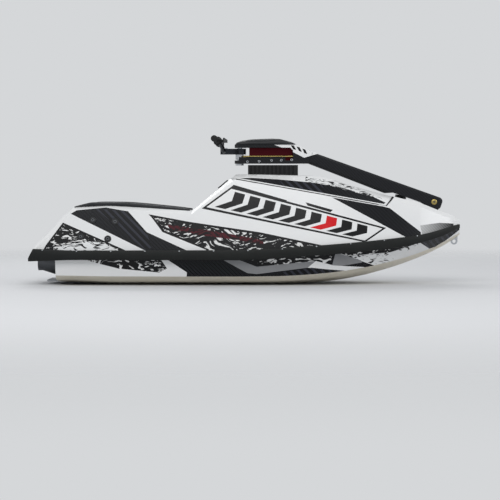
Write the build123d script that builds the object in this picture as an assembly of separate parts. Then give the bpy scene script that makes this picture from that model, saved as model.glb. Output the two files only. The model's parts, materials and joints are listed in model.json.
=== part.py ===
from build123d import *

import math
import os

# A stand-up personal watercraft with a jet pump, a lifting handle pole and an open rider's tray.
# Millimetres. +X is the bow, +Y is port and +Z is up.
# The origin is on the floor under the middle of the craft.

# Hull and deck in plan, at the bond line where the two mouldings meet
BOW_X = 1120.0  # flat end of the stem
BOW_TIP_X = 1128.0  # where the plan curve would close
WIDEST_X = -58.0
STERN_X = -1105.0  # aft end of the deck moulding
TRANSOM_X = -983.0  # aft end of the hull moulding, under the deck's overhang
HALF_BEAM = 325.0
STERN_TAPER = 26.0
STERN_HALF_BEAM = HALF_BEAM - STERN_TAPER
BOW_FULLNESS = 2.2  # exponents of the bow's plan curve
BOW_ROUNDNESS = 0.625
TUMBLEHOME = 0.25  # how far the deck's side leans in for each millimetre of height

# Stations along the craft that are not already named above or below
GUNWALE_REAR_X = -901.0
GUNWALE_PEAK_X = -710.0
CONSOLE_FOOT_X = -286.0
PAD_FRONT_X = 160.0
HOOD_CREST_X = 340.0
HOOD_BREAK_X = 516.0
HOOD_FRONT_X = 743.0
NOSE_REAR_X = 900.0
NOSE_MID_X = 1017.0
NOSE_FRONT_X = 1080.0
LINES = [
    STERN_X, TRANSOM_X, GUNWALE_REAR_X, GUNWALE_PEAK_X, CONSOLE_FOOT_X, WIDEST_X, PAD_FRONT_X,
    HOOD_CREST_X, HOOD_BREAK_X, HOOD_FRONT_X, NOSE_REAR_X, NOSE_MID_X, NOSE_FRONT_X, BOW_X,
]
CURVE_STEPS = 2  # stations for each stretch between those lines, from the widest place to the bow

# Bond line, seen from the side. Columns: x, z
BOND_LINE = [
    (STERN_X, 157.0), (WIDEST_X, 158.0), (HOOD_CREST_X, 180.0), (HOOD_BREAK_X, 193.0), (HOOD_FRONT_X, 215.0),
    (NOSE_REAR_X, 238.0), (NOSE_MID_X, 268.0), (NOSE_FRONT_X, 290.0), (BOW_X, 302.0),
]

# Hull bottom. Columns: x, keel z, half width of the flat pad,
# lower chine half width and z, upper chine half width and z
HULL_SECTIONS = [
    (TRANSOM_X, 14.0, 120.0, 240.0, 30.0, 280.0, 52.0),
    (GUNWALE_PEAK_X, 0.0, 120.0, 246.0, 20.0, 288.0, 48.0),
    (WIDEST_X, 0.0, 118.0, 250.0, 20.0, 294.0, 47.0),
    (PAD_FRONT_X, 0.0, 112.0, 243.0, 22.0, 286.0, 49.0),
    (HOOD_CREST_X, 8.0, 100.0, 224.0, 33.0, 268.0, 58.0),
    (HOOD_BREAK_X, 26.0, 80.0, 190.0, 52.0, 234.0, 76.0),
    (HOOD_FRONT_X, 80.0, 50.0, 120.0, 102.0, 158.0, 118.0),
    (NOSE_REAR_X, 134.0, 22.0, 48.0, 148.0, 70.0, 160.0),
    (NOSE_MID_X, 188.0, 11.0, 24.0, 198.0, 37.0, 209.0),
    (NOSE_FRONT_X, 226.0, 8.0, 15.0, 234.0, 23.0, 243.0),
    (BOW_X, 255.0, 6.0, 9.0, 260.0, 13.0, 266.0),
]

# Deck top. Columns: x, top z, height and width of the bevel along the top edge
DECK_SECTIONS = [
    (STERN_X, 188.0, 22.0, 26.0),
    (GUNWALE_REAR_X, 403.0, 22.0, 26.0),
    (GUNWALE_PEAK_X, 411.0, 16.0, 26.0),
    (CONSOLE_FOOT_X, 382.0, 16.0, 26.0),
    (WIDEST_X, 571.0, 22.0, 28.0),
    (HOOD_CREST_X, 563.0, 22.0, 28.0),
    (HOOD_BREAK_X, 517.0, 22.0, 26.0),
    (HOOD_FRONT_X, 460.0, 22.0, 26.0),
    (NOSE_REAR_X, 424.0, 22.0, 24.0),
    (NOSE_MID_X, 378.0, 20.0, 18.0),
    (NOSE_FRONT_X, 356.0, 16.0, 10.0),
    (BOW_X, 332.0, 10.0, 5.0),
]

# Bumper rail over the bond line. Columns: x, height above it, height below it, how far the rail stands proud
BUMPER_SECTIONS = [
    (STERN_X, 33.0, 31.0, 22.0),
    (GUNWALE_REAR_X, 24.0, 24.0, 22.0),
    (PAD_FRONT_X, 26.0, 26.0, 22.0),
    (HOOD_FRONT_X, 25.0, 25.0, 20.0),
    (NOSE_MID_X, 18.0, 18.0, 14.0),
    (NOSE_FRONT_X, 14.0, 14.0, 9.0),
    (BOW_X, 10.0, 10.0, 5.0),
]
BUMPER_EDGE = 6.0  # bevel along the rail's outer edges
BUMPER_STERN_DEPTH = 15.0
BUMPER_BOW_DEPTH = 10.0  # rubber let into the stem between the two rails
BUMPER_BOW_X = BOW_X - BUMPER_BOW_DEPTH
BUMPER_STERN_GAP = 118.0  # half width left open behind the jet
STERN_RAKE_FOOT_Z = 140.0  # the raked stern starts here on the bumper's aft face
STERN_RAKE_TOP_Z = 209.0
STERN_RAKE_RUN = 20.0  # top of the rake ahead of the deck's aft end
SEAT_GAP = 0.6  # clearance of a rubber or foam piece on a curved moulding

# Hood: the seam under it, and its own sections
SEAM_REAR = (-84.0, 549.0)
SEAM_FRONT = (722.0, 406.0)
HOOD_FRONT_LEAN = 40.0 / 44.0  # x for each z along the hood's front edge
HOOD_FRONT_SLOT = 10.0
HOOD_SEAL = 0.3  # gap at the seal
HOOD_EDGE_RISE = 4.0  # bevel under the hood's edge that shows the seam
HOOD_EDGE_RUN = 7.0
HOOD_WALL = 10.0
HOOD_LIP = 34.0
# Columns: x, top half width, top z, shoulder half width, shoulder z
HOOD_SECTIONS = [
    (-95.0, 150.0, 572.0, 196.0, 560.0),
    (PAD_FRONT_X, 148.0, 568.0, 204.0, 546.0),
    (HOOD_CREST_X, 138.0, 563.0, 198.0, 529.0),
    (430.0, 130.0, 548.0, 190.0, 514.0),
    (HOOD_BREAK_X, 120.0, 519.0, 180.0, 490.0),
    (770.0, 92.0, 452.0, 150.0, 428.0),
]

# Rider's tray
TRAY_FLOOR_Z = 205.0
TRAY_FRONT_X = -275.0
TRAY_FRONT_LEAN = 110.0 / 395.0
TRAY_HALF_REAR = 168.0
TRAY_HALF_FRONT = 186.0
TRAY_WALL_LEAN = 10.0  # how much wider each side is at the rim
TRAY_RIM_Z = 640.0
TRAY_REAR_OVERRUN = 60.0  # how far the tray's cut runs past the stern and past its front wall
TRAY_FRONT_OVERRUN = 200.0
MAT_THICK = 8.0
MAT_MARGIN = 12.0
MAT_GROOVE = 5.0
MAT_GROOVE_DEPTH = 3.0
MAT_GROOVE_PITCH = 48.0
PAD_INSET = 7.0  # gunwale pad from the edge of the gunwale's flat
PAD_WIDTH = 38.0
PAD_HEIGHT = 22.0
PAD_END_RUN = 90.0
FOOT_HOLD_REAR_X = -850.0
FOOT_HOLD_LENGTH = 150.0
FOOT_HOLD_RADIUS = 104.0
FOOT_HOLD_WALL = 9.0
FOOT_HOLD_TAB = 26.0

# Engine bay and the engine
BAY_REAR_X = -180.0
BAY_HULL_FRONT_X = 420.0
BAY_DECK_FRONT_X = 640.0
BAY_MOUTH_REAR_X = -40.0
BAY_HALF = 145.0
BAY_FLOOR_Z = 55.0
BAY_ROOF_Z = 430.0
ENGINE_LENGTH = 430.0
ENGINE_HALF = 135.0
ENGINE_HEIGHT = 335.0
ENGINE_SETBACK = 18.0

# Jet pump on its axis along X
PUMP_AXIS_Z = 110.0
PUMP_FRONT_X = -740.0
PUMP_BORE_R = 72.0
PUMP_WALL = 6.0
PUMP_LENGTH = 140.0
PUMP_FLANGE_R = 84.0
PUMP_FLANGE_THICK = 10.0
PUMP_BAY_HALF = 95.0
PUMP_BAY_ROOF_Z = 195.0
OVERHANG_BAY_HALF = 115.0  # the deck's underside over the nozzle
STATOR_HUB_R = 25.0
STATOR_LENGTH = 50.0
STATOR_VANES = 6
STATOR_VANE_THICK = 5.0
SHAFT_R = 12.5
RUNNING_GAP = 0.05
SHAFT_REACH = 260.0  # ahead of the pump, into the hull
SHAFT_FRONT_X = PUMP_FRONT_X + SHAFT_REACH
IMPELLER_BLADES = 3
IMPELLER_HUB_R = 22.0
IMPELLER_TIP_GAP = 6.0
IMPELLER_LENGTH = 46.0
IMPELLER_SETBACK = 6.0
IMPELLER_TWIST = 75.0
IMPELLER_BLADE_THICK = 5.0
IMPELLER_STEPS = 6  # flats along each blade
IMPELLER_EDGE_SHARE = 0.02  # blades stop short of the hub's ends
CONE_LENGTH = 120.0
CONE_TAPER_LENGTH = 62.0  # the rest of the cone is straight, clear of the turned nozzle's rim
CONE_END_R = 40.0
CONE_WALL = 7.0
NOZZLE_PIVOT_INSET = 15.0  # from the cone's end
NOZZLE_PIVOT_X = PUMP_FRONT_X - PUMP_LENGTH - CONE_LENGTH + NOZZLE_PIVOT_INSET
NOZZLE_LEAD = 12.0  # nozzle's rim ahead of its pivot
NOZZLE_LENGTH = 130.0
NOZZLE_FRONT_R = 64.0
NOZZLE_END_R = 38.0
NOZZLE_WALL = 6.0
NOZZLE_PIN_R = 7.0
NOZZLE_LUG_HALF = 10.0
NOZZLE_EAR_HALF = 16.0
NOZZLE_EAR_SINK = 2.0
NOZZLE_ARM_REACH = 26.0

# Intake, grate and ride plate
INTAKE_LENGTH = 330.0
INTAKE_LEAD = 50.0  # mouth's rear edge ahead of the pump
INTAKE_REAR_X = PUMP_FRONT_X + INTAKE_LEAD
INTAKE_FRONT_X = INTAKE_REAR_X + INTAKE_LENGTH
INTAKE_HALF = 70.0
INTAKE_ROOF_RUN = 70.0
INTAKE_ROOF_X = INTAKE_REAR_X + INTAKE_ROOF_RUN
INTAKE_ROOF_Z = 178.0
GRATE_MARGIN = 14.0
GRATE_THICK = 8.0
GRATE_BARS = 4
GRATE_BAR_WIDTH = 7.0
PLATE_THICK = 8.0
PLATE_HALF = 116.0
PLATE_LENGTH = 313.0
PLATE_FRONT_LEAD = 8.0  # ahead of the pump
PLATE_FRONT_X = PUMP_FRONT_X + PLATE_FRONT_LEAD
PLATE_REAR_X = PLATE_FRONT_X - PLATE_LENGTH
PLATE_GROOVES = 4
PLATE_GROOVE_WIDTH = 8.0
PLATE_GROOVE_DEPTH = 3.0

# Handle pole, in its own line from the pivot: u runs aft along the pole, v stands up from it
PIVOT_X = 981.0
PIVOT_Z = 427.0
POLE_ANGLE = 19.25  # rise of the pole at rest, degrees
POLE_LENGTH = 690.0
POLE_HALF = 50.0
POLE_TOP = 37.0
POLE_NOSE_TOP = 33.0
POLE_NOSE_BOTTOM = 31.0
POLE_NOSE_REACH = 46.0  # ahead of the pivot
POLE_NOSE_R = 26.0
POLE_NOSE_RUN = 25.0
POLE_TOP_ROUND = 11.0
POLE_SLIM_BOTTOM = 23.0
POLE_DEEP_BOTTOM = 41.0
POLE_REAR_BOTTOM = 27.0
POLE_SLIM_LENGTH = 215.0
POLE_STEP = 43.0
POLE_BEVEL = 16.0
FORK_LENGTH = 78.0
FORK_ARM = 14.0
FORK_SIDE_GAP = 1.0
PIVOT_PIN_R = 10.0
PIVOT_HEAD_R = 15.0
PIVOT_HEAD_THICK = 8.0
WELL_REAR_X = 926.0  # pocket in the nose deck under the pole's nose
WELL_FRONT_X = 1012.0
WELL_DEPTH = 22.0
WELL_SIDE_GAP = 8.0
BRACKET_MARGIN = 6.0  # plate's ends from the well's
BRACKET_HALF = 30.0
BRACKET_THICK = 5.0
BRACKET_LUG_R = 21.0

# Pole head with its steering bearing, and the chin pad over it
POLE_RISE = math.radians(POLE_ANGLE)
HEAD_FRONT_X = PIVOT_X - POLE_LENGTH * math.cos(POLE_RISE) - POLE_REAR_BOTTOM * math.sin(POLE_RISE)
HEAD_BOTTOM_Z = PIVOT_Z + POLE_LENGTH * math.sin(POLE_RISE) - POLE_REAR_BOTTOM * math.cos(POLE_RISE)
HEAD_LENGTH = 387.0
HEAD_REAR_X = HEAD_FRONT_X - HEAD_LENGTH
HEAD_HALF = 56.0
HEAD_HEIGHT = 99.0
HEAD_PLATE_THICK = 16.0
HEAD_TOP_Z = HEAD_BOTTOM_Z + HEAD_HEIGHT
HEAD_BROW = 64.0  # run of the slope from the pole's end up to the head's top
HEAD_TOP_FRONT_X = HEAD_FRONT_X - HEAD_BROW
HEAD_CHEEK = 81.0  # solid front of the head
HEAD_THROAT_X = HEAD_FRONT_X - HEAD_CHEEK
HEAD_THROAT_STEP = 14.0
HEAD_CORNER = 22.0  # plan bevel of the rear corners
RAIL_HEIGHT = 17.0
RAIL_THICK = 6.0
RAIL_FRONT_GAP = 40.0
RAIL_FRONT_X = HEAD_THROAT_X - RAIL_FRONT_GAP
CHIN_HALF = 62.0
CHIN_LEAD = 19.0  # ahead of the head's flat top
CHIN_FRONT_X = HEAD_TOP_FRONT_X + CHIN_LEAD
CHIN_CREST_SETBACK = 83.0
CHIN_CREST_X = HEAD_TOP_FRONT_X - CHIN_CREST_SETBACK
CHIN_CREST = 32.0
CHIN_REAR_RUN = 75.0
CHIN_REAR_CREST_X = HEAD_REAR_X + CHIN_REAR_RUN
CHIN_REAR_CREST = 26.0
CHIN_OVERHANG = 8.0
CHIN_ROUND = 7.0

# Steering and handlebar
STEM_INSET = 26.0
STEM_X = HEAD_REAR_X + STEM_INSET
STEM_R = 14.0
STEM_DROP = 10.0  # below the head's lower plate
STEM_COLLAR_R = 22.0
BAR_SETBACK = 82.0
BAR_LIFT = 63.0  # over the head's underside
BAR_Z = HEAD_BOTTOM_Z + BAR_LIFT
BAR_R = 11.0
BAR_STRAIGHT_HALF = 70.0
BAR_RISE_Y = 155.0
BAR_RISE = 46.0
BAR_RISE_Z = BAR_Z + BAR_RISE
BAR_RISE_BACK = 20.0
BAR_END_Y = 338.0
BAR_END_RISE = 60.0
BAR_END_Z = BAR_Z + BAR_END_RISE
BAR_END_BACK = 46.0
BAR_BEND_R = 45.0
CLAMP_HALF = 34.0
CLAMP_HEIGHT = 30.0
CLAMP_DEPTH = 38.0
GRIP_R = 16.5
GRIP_LENGTH = 122.0
GRIP_END = 5.0
GRIP_FLANGE_R = 22.0
GRIP_FLANGE_THICK = 6.0
BAR_FIT = 0.1
LEVER_LENGTH = 105.0
LEVER_WIDTH = 16.0
LEVER_THICK = 7.0
LEVER_REACH = 46.0
PERCH_WIDTH = 24.0
PERCH_WALL = 7.0
SWITCH_LENGTH = 44.0
SWITCH_DEPTH = 40.0
SWITCH_HEIGHT = 34.0
SWITCH_BUTTON_R = 6.5
SWITCH_BUTTON_PROUD = 4.0
ARM_REACH_X = 26.0
ARM_REACH_Y = 24.0
ARM_THICK = 7.0
ARM_R = 8.0
ARM_LIFT = 5.0  # above the head's lower plate
SPINE_HALF = 4.0  # plate between the head's two plates, on the middle plane
SPINE_REAR_GAP = 7.0  # from the arm's swing
ROD_R = 4.0
ROD_EYE_R = 8.0
ROD_EYE_THICK = 9.0
ROD_EYE_GAP = 5.0  # the open linkage's gap between the arm and the rod's eye
ROD_GLAND_R = 6.0
ROD_GLAND_LENGTH = 14.0

# Pole rest on the hood, tow eye, filler cap, latch and drain plugs
REST_LEAD = 44.0  # ahead of the steering stem
REST_REAR_X = STEM_X + REST_LEAD
REST_FRONT_GAP = 55.0  # behind the pole's end
REST_FRONT_X = HEAD_FRONT_X - REST_FRONT_GAP
REST_HALF = 62.0
REST_CLEARANCE = 6.0
REST_RIB_PITCH = 22.0
REST_RIB_WIDTH = 8.0
REST_RIB_DEPTH = 5.0
TOW_X = 1092.0
TOW_Z = 220.0
TOW_HOLE_R = 9.0
TOW_RING_R = 18.0
TOW_THICK = 12.0
TOW_NECK = 40.0
CAP_X = 815.0
CAP_Y = 94.0
CAP_R = 30.0
CAP_HEIGHT = 18.0
CAP_LOBES = 6
CAP_LOBE_R = 7.0
LATCH_HALF = 24.0
LATCH_THICK = 9.0
LATCH_LENGTH = 66.0
LATCH_LOOP = 14.0
PLUG_Y = 190.0
PLUG_Z = 82.0
PLUG_R = 17.0
PLUG_LENGTH = 9.0
PLUG_SLOT = 5.0

FAR = 2000.0


# Shared forms

def stations():
    """Where the sections of the hull, the deck and the bumper stand, closer together round the bow."""
    places = [x for x in LINES if x <= WIDEST_X]
    for low, high in zip(LINES, LINES[1:]):
        if low >= WIDEST_X:
            places += [low + (high - low) * (step + 1) / CURVE_STEPS for step in range(CURVE_STEPS)]
    return places


def row_at(table, x):
    """The other columns of a table at x, in between its rows by straight lines."""
    if x <= table[0][0]:
        return table[0][1:]
    for low, high in zip(table, table[1:]):
        if x <= high[0]:
            share = (x - low[0]) / (high[0] - low[0])
            return tuple(a + share * (b - a) for a, b in zip(low[1:], high[1:]))
    return table[-1][1:]


def slope_at(table, row, column):
    """The slope of a fair curve at a row: none at a hollow or a crest, so that the curve never overshoots."""
    if row in (0, len(table) - 1):
        return 0.0 if row == 0 else slope_between(table, row - 1, column)
    before, after = slope_between(table, row - 1, column), slope_between(table, row, column)
    if before * after <= 0:
        return 0.0
    return 2 * before * after / (before + after)


def slope_between(table, row, column):
    low, high = table[row], table[row + 1]
    return (high[column] - low[column]) / (high[0] - low[0])


def curve_at(table, x):
    """The other columns of a table at x, on fair curves through its rows."""
    if x <= table[0][0]:
        return table[0][1:]
    for row, (low, high) in enumerate(zip(table, table[1:])):
        if x <= high[0]:
            run = high[0] - low[0]
            t = (x - low[0]) / run
            rise = t * t * (3 - 2 * t)
            values = []
            for column in range(1, len(low)):
                start, end = slope_at(table, row, column), slope_at(table, row + 1, column)
                bend = run * (start * t * (1 - t) ** 2 - end * t * t * (1 - t))
                values.append(low[column] + (high[column] - low[column]) * rise + bend)
            return tuple(values)
    return table[-1][1:]


def half_beam(x):
    """Half width at the bond line."""
    if x <= WIDEST_X:
        return HALF_BEAM + (STERN_HALF_BEAM - HALF_BEAM) * (WIDEST_X - x) / (WIDEST_X - STERN_X)
    forward = (x - WIDEST_X) / (BOW_TIP_X - WIDEST_X)
    return HALF_BEAM * (1 - forward**BOW_FULLNESS) ** BOW_ROUNDNESS


def bond_z(x):
    return curve_at(BOND_LINE, x)[0]


def deck_top_z(x):
    return row_at(DECK_SECTIONS, x)[0]


def well_floor_z(x):
    """Floor of the pocket under the pole's nose."""
    return deck_top_z(x) - WELL_DEPTH


def deck_half(x, z):
    """Half width of the deck's side at a height."""
    return half_beam(x) - TUMBLEHOME * (z - bond_z(x))


def hull_side_half(x, z):
    """Half width of the hull's side between its upper chine and the bond line."""
    chine_half, chine_z = curve_at(HULL_SECTIONS, x)[4:6]
    share = (bond_z(x) - z) / (bond_z(x) - chine_z)
    return half_beam(x) + share * (chine_half - half_beam(x))


def seam_z(x):
    """Height of the seam under the hood."""
    run = SEAM_FRONT[0] - SEAM_REAR[0]
    return SEAM_REAR[1] + (SEAM_FRONT[1] - SEAM_REAR[1]) * (x - SEAM_REAR[0]) / run


def hood_rows():
    """The hood's sections on fair curves, with one more between each two rows."""
    places = [row[0] for row in HOOD_SECTIONS]
    places += [(low + high) / 2 for low, high in zip(places, places[1:])]
    return [(x, *curve_at(HOOD_SECTIONS, x)) for x in sorted(places)]


def hood_top_z(x):
    return row_at(hood_rows(), x)[1]


def ring(points):
    return Wire.make_polygon([Vector(*p) for p in points], close=True)


def section(x, half_outline):
    """A section across the craft from its port half, (y, z) from the bottom to the top."""
    port = [(x, y, z) for y, z in half_outline]
    return ring(port + [(x, -y, z) for y, z in reversed(half_outline)])


def ruled(rings):
    return Solid.make_loft(rings, ruled=True)


def slab_xz(points, y_low, y_high):
    """A side view outline, (x, z), as a slab from y_low to y_high."""
    face = Face(ring([(x, y_low, z) for x, z in points]))
    return extrude(face, amount=y_high - y_low, dir=(0, 1, 0))


def centred_slab(points, half):
    return slab_xz(points, -half, half)


def box_between(x_low, x_high, y_low, y_high, z_low, z_high):
    size = (x_high - x_low, y_high - y_low, z_high - z_low)
    middle = ((x_low + x_high) / 2, (y_low + y_high) / 2, (z_low + z_high) / 2)
    return Pos(*middle) * Box(*size)


def rod_x(x_low, x_high, radius, y=0.0, z=0.0):
    return Pos((x_low + x_high) / 2, y, z) * Rot(0, 90, 0) * Cylinder(radius, x_high - x_low)


def rod_y(y_low, y_high, radius, x, z):
    return Pos(x, (y_low + y_high) / 2, z) * Rot(90, 0, 0) * Cylinder(radius, y_high - y_low)


def rod_z(z_low, z_high, radius, x, y=0.0):
    return Pos(x, y, (z_low + z_high) / 2) * Cylinder(radius, z_high - z_low)


def turned(outline):
    """A part turned about the pump's axis, from (x, radius) points."""
    face = Face(ring([(x, 0, PUMP_AXIS_Z + r) for x, r in outline]))
    return revolve(face, axis=Axis((0, 0, PUMP_AXIS_Z), (1, 0, 0)), revolution_arc=360)


def mirrored(shape):
    return mirror(shape, about=Plane.XZ)


# Spaces that two mouldings share

def bay_space():
    """The engine bay, with its mouth under the hood."""
    hull_part = box_between(BAY_REAR_X, BAY_HULL_FRONT_X, -BAY_HALF, BAY_HALF, BAY_FLOOR_Z, BAY_ROOF_Z)
    lowest = bond_z(BAY_DECK_FRONT_X)
    deck_part = box_between(BAY_REAR_X, BAY_DECK_FRONT_X, -BAY_HALF, BAY_HALF, lowest, BAY_ROOF_Z)
    mouth = box_between(BAY_MOUTH_REAR_X, BAY_DECK_FRONT_X, -BAY_HALF, BAY_HALF, lowest, TRAY_RIM_Z)
    return hull_part + deck_part + mouth


def keel_line(x):
    return curve_at(HULL_SECTIONS, x)[0]


def plate_outline(rear_x, front_x):
    """The ride plate from the side, on the keel line."""
    places = [rear_x, *(x for x in (TRANSOM_X,) if rear_x < x < front_x), front_x]
    under = [(x, keel_line(x)) for x in places]
    return under + [(x, z + PLATE_THICK) for x, z in reversed(under)]


GRATE_REAR_X = INTAKE_REAR_X - GRATE_MARGIN
GRATE_FRONT_X = INTAKE_FRONT_X + GRATE_MARGIN
GRATE_HALF = INTAKE_HALF + GRATE_MARGIN
TRAY_TOP_Z = TRAY_FLOOR_Z + MAT_THICK


# Mouldings

def hull():
    rings = []
    for x in stations()[1:]:
        keel, pad, low_half, low_z, top_half, top_z = curve_at(HULL_SECTIONS, x)
        outline = [(pad, keel), (low_half, low_z), (top_half, top_z), (half_beam(x), bond_z(x))]
        rings.append(section(x, outline))
    shape = ruled(rings)
    shape -= bay_space()
    duct = [
        (INTAKE_FRONT_X, -PLATE_THICK), (INTAKE_ROOF_X, INTAKE_ROOF_Z),
        (PUMP_FRONT_X, PUMP_AXIS_Z + PUMP_BORE_R),
        (PUMP_FRONT_X, PUMP_AXIS_Z - PUMP_BORE_R), (INTAKE_REAR_X, -PLATE_THICK),
    ]
    shape -= centred_slab(duct, INTAKE_HALF)
    shape -= box_between(TRANSOM_X - 10, PUMP_FRONT_X, -PUMP_BAY_HALF, PUMP_BAY_HALF, -FAR, PUMP_BAY_ROOF_Z)
    shape -= rod_x(INTAKE_ROOF_X, SHAFT_FRONT_X, SHAFT_R + RUNNING_GAP, z=PUMP_AXIS_Z)
    shape -= box_between(GRATE_REAR_X, GRATE_FRONT_X, -GRATE_HALF, GRATE_HALF, -FAR, GRATE_THICK)
    shape -= centred_slab(plate_outline(TRANSOM_X - 10, PLATE_FRONT_X), PLATE_HALF)
    return shape - bow_slot()


def deck():
    rings = []
    for x in stations():
        top, drop, inset = row_at(DECK_SECTIONS, x)
        outline = [
            (half_beam(x), bond_z(x)), (deck_half(x, top - drop), top - drop),
            (deck_half(x, top) - inset, top),
        ]
        rings.append(section(x, outline))
    shape = ruled(rings)
    high = SEAM_REAR[1] + FAR / 4
    front_at_top = SEAM_FRONT[0] + HOOD_FRONT_LEAN * (high - SEAM_FRONT[1])
    behind = SEAM_REAR[0] - HALF_BEAM
    seam_cut = [(behind, seam_z(behind)), SEAM_FRONT, (front_at_top, high), (behind, high)]
    shape -= centred_slab(seam_cut, HALF_BEAM)
    shape -= tray_space()
    shape -= bay_space()
    well = [
        (WELL_REAR_X, well_floor_z(WELL_REAR_X)), (WELL_FRONT_X, well_floor_z(WELL_FRONT_X)),
        (WELL_FRONT_X, TRAY_RIM_Z), (WELL_REAR_X, TRAY_RIM_Z),
    ]
    shape -= centred_slab(well, POLE_HALF + WELL_SIDE_GAP)
    shape -= box_between(
        TRANSOM_X, PUMP_FRONT_X, -PUMP_BAY_HALF, PUMP_BAY_HALF, 0, PUMP_BAY_ROOF_Z
    )
    shape -= box_between(
        STERN_X - 10, TRANSOM_X, -OVERHANG_BAY_HALF, OVERHANG_BAY_HALF, 0, PUMP_BAY_ROOF_Z
    )
    return shape - stern_rake() - bow_slot()


def bow_heights():
    """Lower and upper edge of the bumper where the rails end at the stem."""
    above, below, _ = row_at(BUMPER_SECTIONS, BUMPER_BOW_X)
    return bond_z(BUMPER_BOW_X) - below, bond_z(BUMPER_BOW_X) + above


def bow_slot():
    """The slot across the stem for the bumper's bow piece."""
    return box_between(BUMPER_BOW_X, FAR, -HALF_BEAM, HALF_BEAM, *bow_heights())


def stern_rake():
    """What the raked stern takes off the deck and the bumper."""
    foot_x, top_x = STERN_X - BUMPER_STERN_DEPTH, STERN_X + STERN_RAKE_RUN
    behind = foot_x - FAR / 10
    outline = [
        (foot_x, STERN_RAKE_FOOT_Z), (top_x, STERN_RAKE_TOP_Z), (top_x, TRAY_RIM_Z), (behind, TRAY_RIM_Z),
        (behind, STERN_RAKE_FOOT_Z),
    ]
    return centred_slab(outline, 2 * HALF_BEAM)


def tray_space():
    """The open standing tray between the gunwales."""
    rear = STERN_X - TRAY_REAR_OVERRUN
    ends = [(rear, TRAY_HALF_REAR), (TRAY_FRONT_X + TRAY_FRONT_OVERRUN, TRAY_HALF_FRONT)]
    rings = [
        section(x, [(half, TRAY_FLOOR_Z), (half + TRAY_WALL_LEAN, TRAY_RIM_Z)]) for x, half in ends
    ]
    rim_front = TRAY_FRONT_X + TRAY_FRONT_LEAN * (TRAY_RIM_Z - TRAY_FLOOR_Z)
    front = [
        (rear, TRAY_FLOOR_Z), (TRAY_FRONT_X, TRAY_FLOOR_Z), (rim_front, TRAY_RIM_Z), (rear, TRAY_RIM_Z),
    ]
    return ruled(rings) & centred_slab(front, HALF_BEAM)


def tray_half(x, z):
    """Half width of the tray at a place and height."""
    rear, front = STERN_X - TRAY_REAR_OVERRUN, TRAY_FRONT_X + TRAY_FRONT_OVERRUN
    share = (x - rear) / (front - rear)
    at_floor = TRAY_HALF_REAR + share * (TRAY_HALF_FRONT - TRAY_HALF_REAR)
    return at_floor + TRAY_WALL_LEAN * (z - TRAY_FLOOR_Z) / (TRAY_RIM_Z - TRAY_FLOOR_Z)


def console_x(z):
    """The console's sloping back, seen from the side."""
    foot_z, top_z = deck_top_z(CONSOLE_FOOT_X), deck_top_z(WIDEST_X)
    return CONSOLE_FOOT_X + (WIDEST_X - CONSOLE_FOOT_X) * (z - foot_z) / (top_z - foot_z)


def hood():
    outer, inner = [], []
    for x, top_half, top_z, shoulder_half, shoulder_z in hood_rows():
        base_z = seam_z(x) + HOOD_SEAL
        base_half = deck_half(x, base_z)
        edge_half = deck_half(x, base_z + HOOD_EDGE_RISE)
        outer.append(section(x, [
            (base_half - HOOD_EDGE_RUN, base_z), (edge_half, base_z + HOOD_EDGE_RISE),
            (shoulder_half, shoulder_z),
            (top_half, top_z),
        ]))
        hollow = [
            (base_half - HOOD_LIP, base_z - HOOD_WALL), (shoulder_half - HOOD_LIP, shoulder_z - HOOD_WALL),
            (top_half - HOOD_WALL, top_z - HOOD_WALL),
        ]
        inner.append(section(x, hollow))
    low, high = SEAM_FRONT[1] - HALF_BEAM, SEAM_REAR[1] + HALF_BEAM

    def front_x(z, back):
        return SEAM_FRONT[0] - HOOD_FRONT_SLOT - back + HOOD_FRONT_LEAN * (z - SEAM_FRONT[1])

    def between_ends(back):
        return [
            (console_x(low) + back, low), (console_x(high) + back, high), (front_x(high, back), high),
            (front_x(low, back), low),
        ]

    shell = ruled(outer) & centred_slab(between_ends(0), HALF_BEAM)
    return shell - (ruled(inner) & centred_slab(between_ends(HOOD_LIP), HALF_BEAM))


def bumper_side():
    """The port rail, on the deck's and the hull's sides."""
    rings = []
    for x in stations():
        above, below, proud = row_at(BUMPER_SECTIONS, x)
        low, high = bond_z(x) - below, bond_z(x) + above
        outside = half_beam(x) + proud
        outline = [
            (half_beam(x) + SEAT_GAP, bond_z(x)),
            (hull_side_half(x, low) + SEAT_GAP, low),
            (outside - BUMPER_EDGE / 2, low),
            (outside, low + BUMPER_EDGE),
            (outside, high - BUMPER_EDGE),
            (outside - BUMPER_EDGE / 2, high),
            (deck_half(x, high) + SEAT_GAP, high),
        ]
        rings.append(ring([(x, y, z) for y, z in outline]))
    ahead = box_between(BUMPER_BOW_X, FAR, 0, HALF_BEAM, 0, TRAY_RIM_Z)
    return ruled(rings) - stern_rake() - ahead


def bumper_bow():
    """The piece across the stem that joins the two rails."""
    corners = []
    for x in (BUMPER_BOW_X, BOW_X):
        corners.append((x, half_beam(x) + row_at(BUMPER_SECTIONS, x)[2]))
    plan = corners + [(x, -y) for x, y in reversed(corners)]
    piece = ruled([ring([(x, y, z) for x, y in plan]) for z in bow_heights()])
    outer = [e for e in piece.edges() if e.center().X > BUMPER_BOW_X + 1]
    return chamfer([e for e in outer if abs(e.tangent_at(0.5).Z) < 0.5], BUMPER_EDGE / 2)


def bumper_stern():
    above, below, proud = row_at(BUMPER_SECTIONS, STERN_X)
    middle = bond_z(STERN_X)
    corner = box_between(
        STERN_X - BUMPER_STERN_DEPTH, STERN_X, BUMPER_STERN_GAP, STERN_HALF_BEAM + proud,
        middle - below, middle + above,
    )
    rounded = [e for e in corner.edges().filter_by(Axis.Z) if e.center().X < STERN_X - 1]
    corner = fillet(rounded, BUMPER_STERN_DEPTH - BUMPER_EDGE) - stern_rake()
    return Compound([corner, mirrored(corner)])


# Tray fittings

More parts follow.
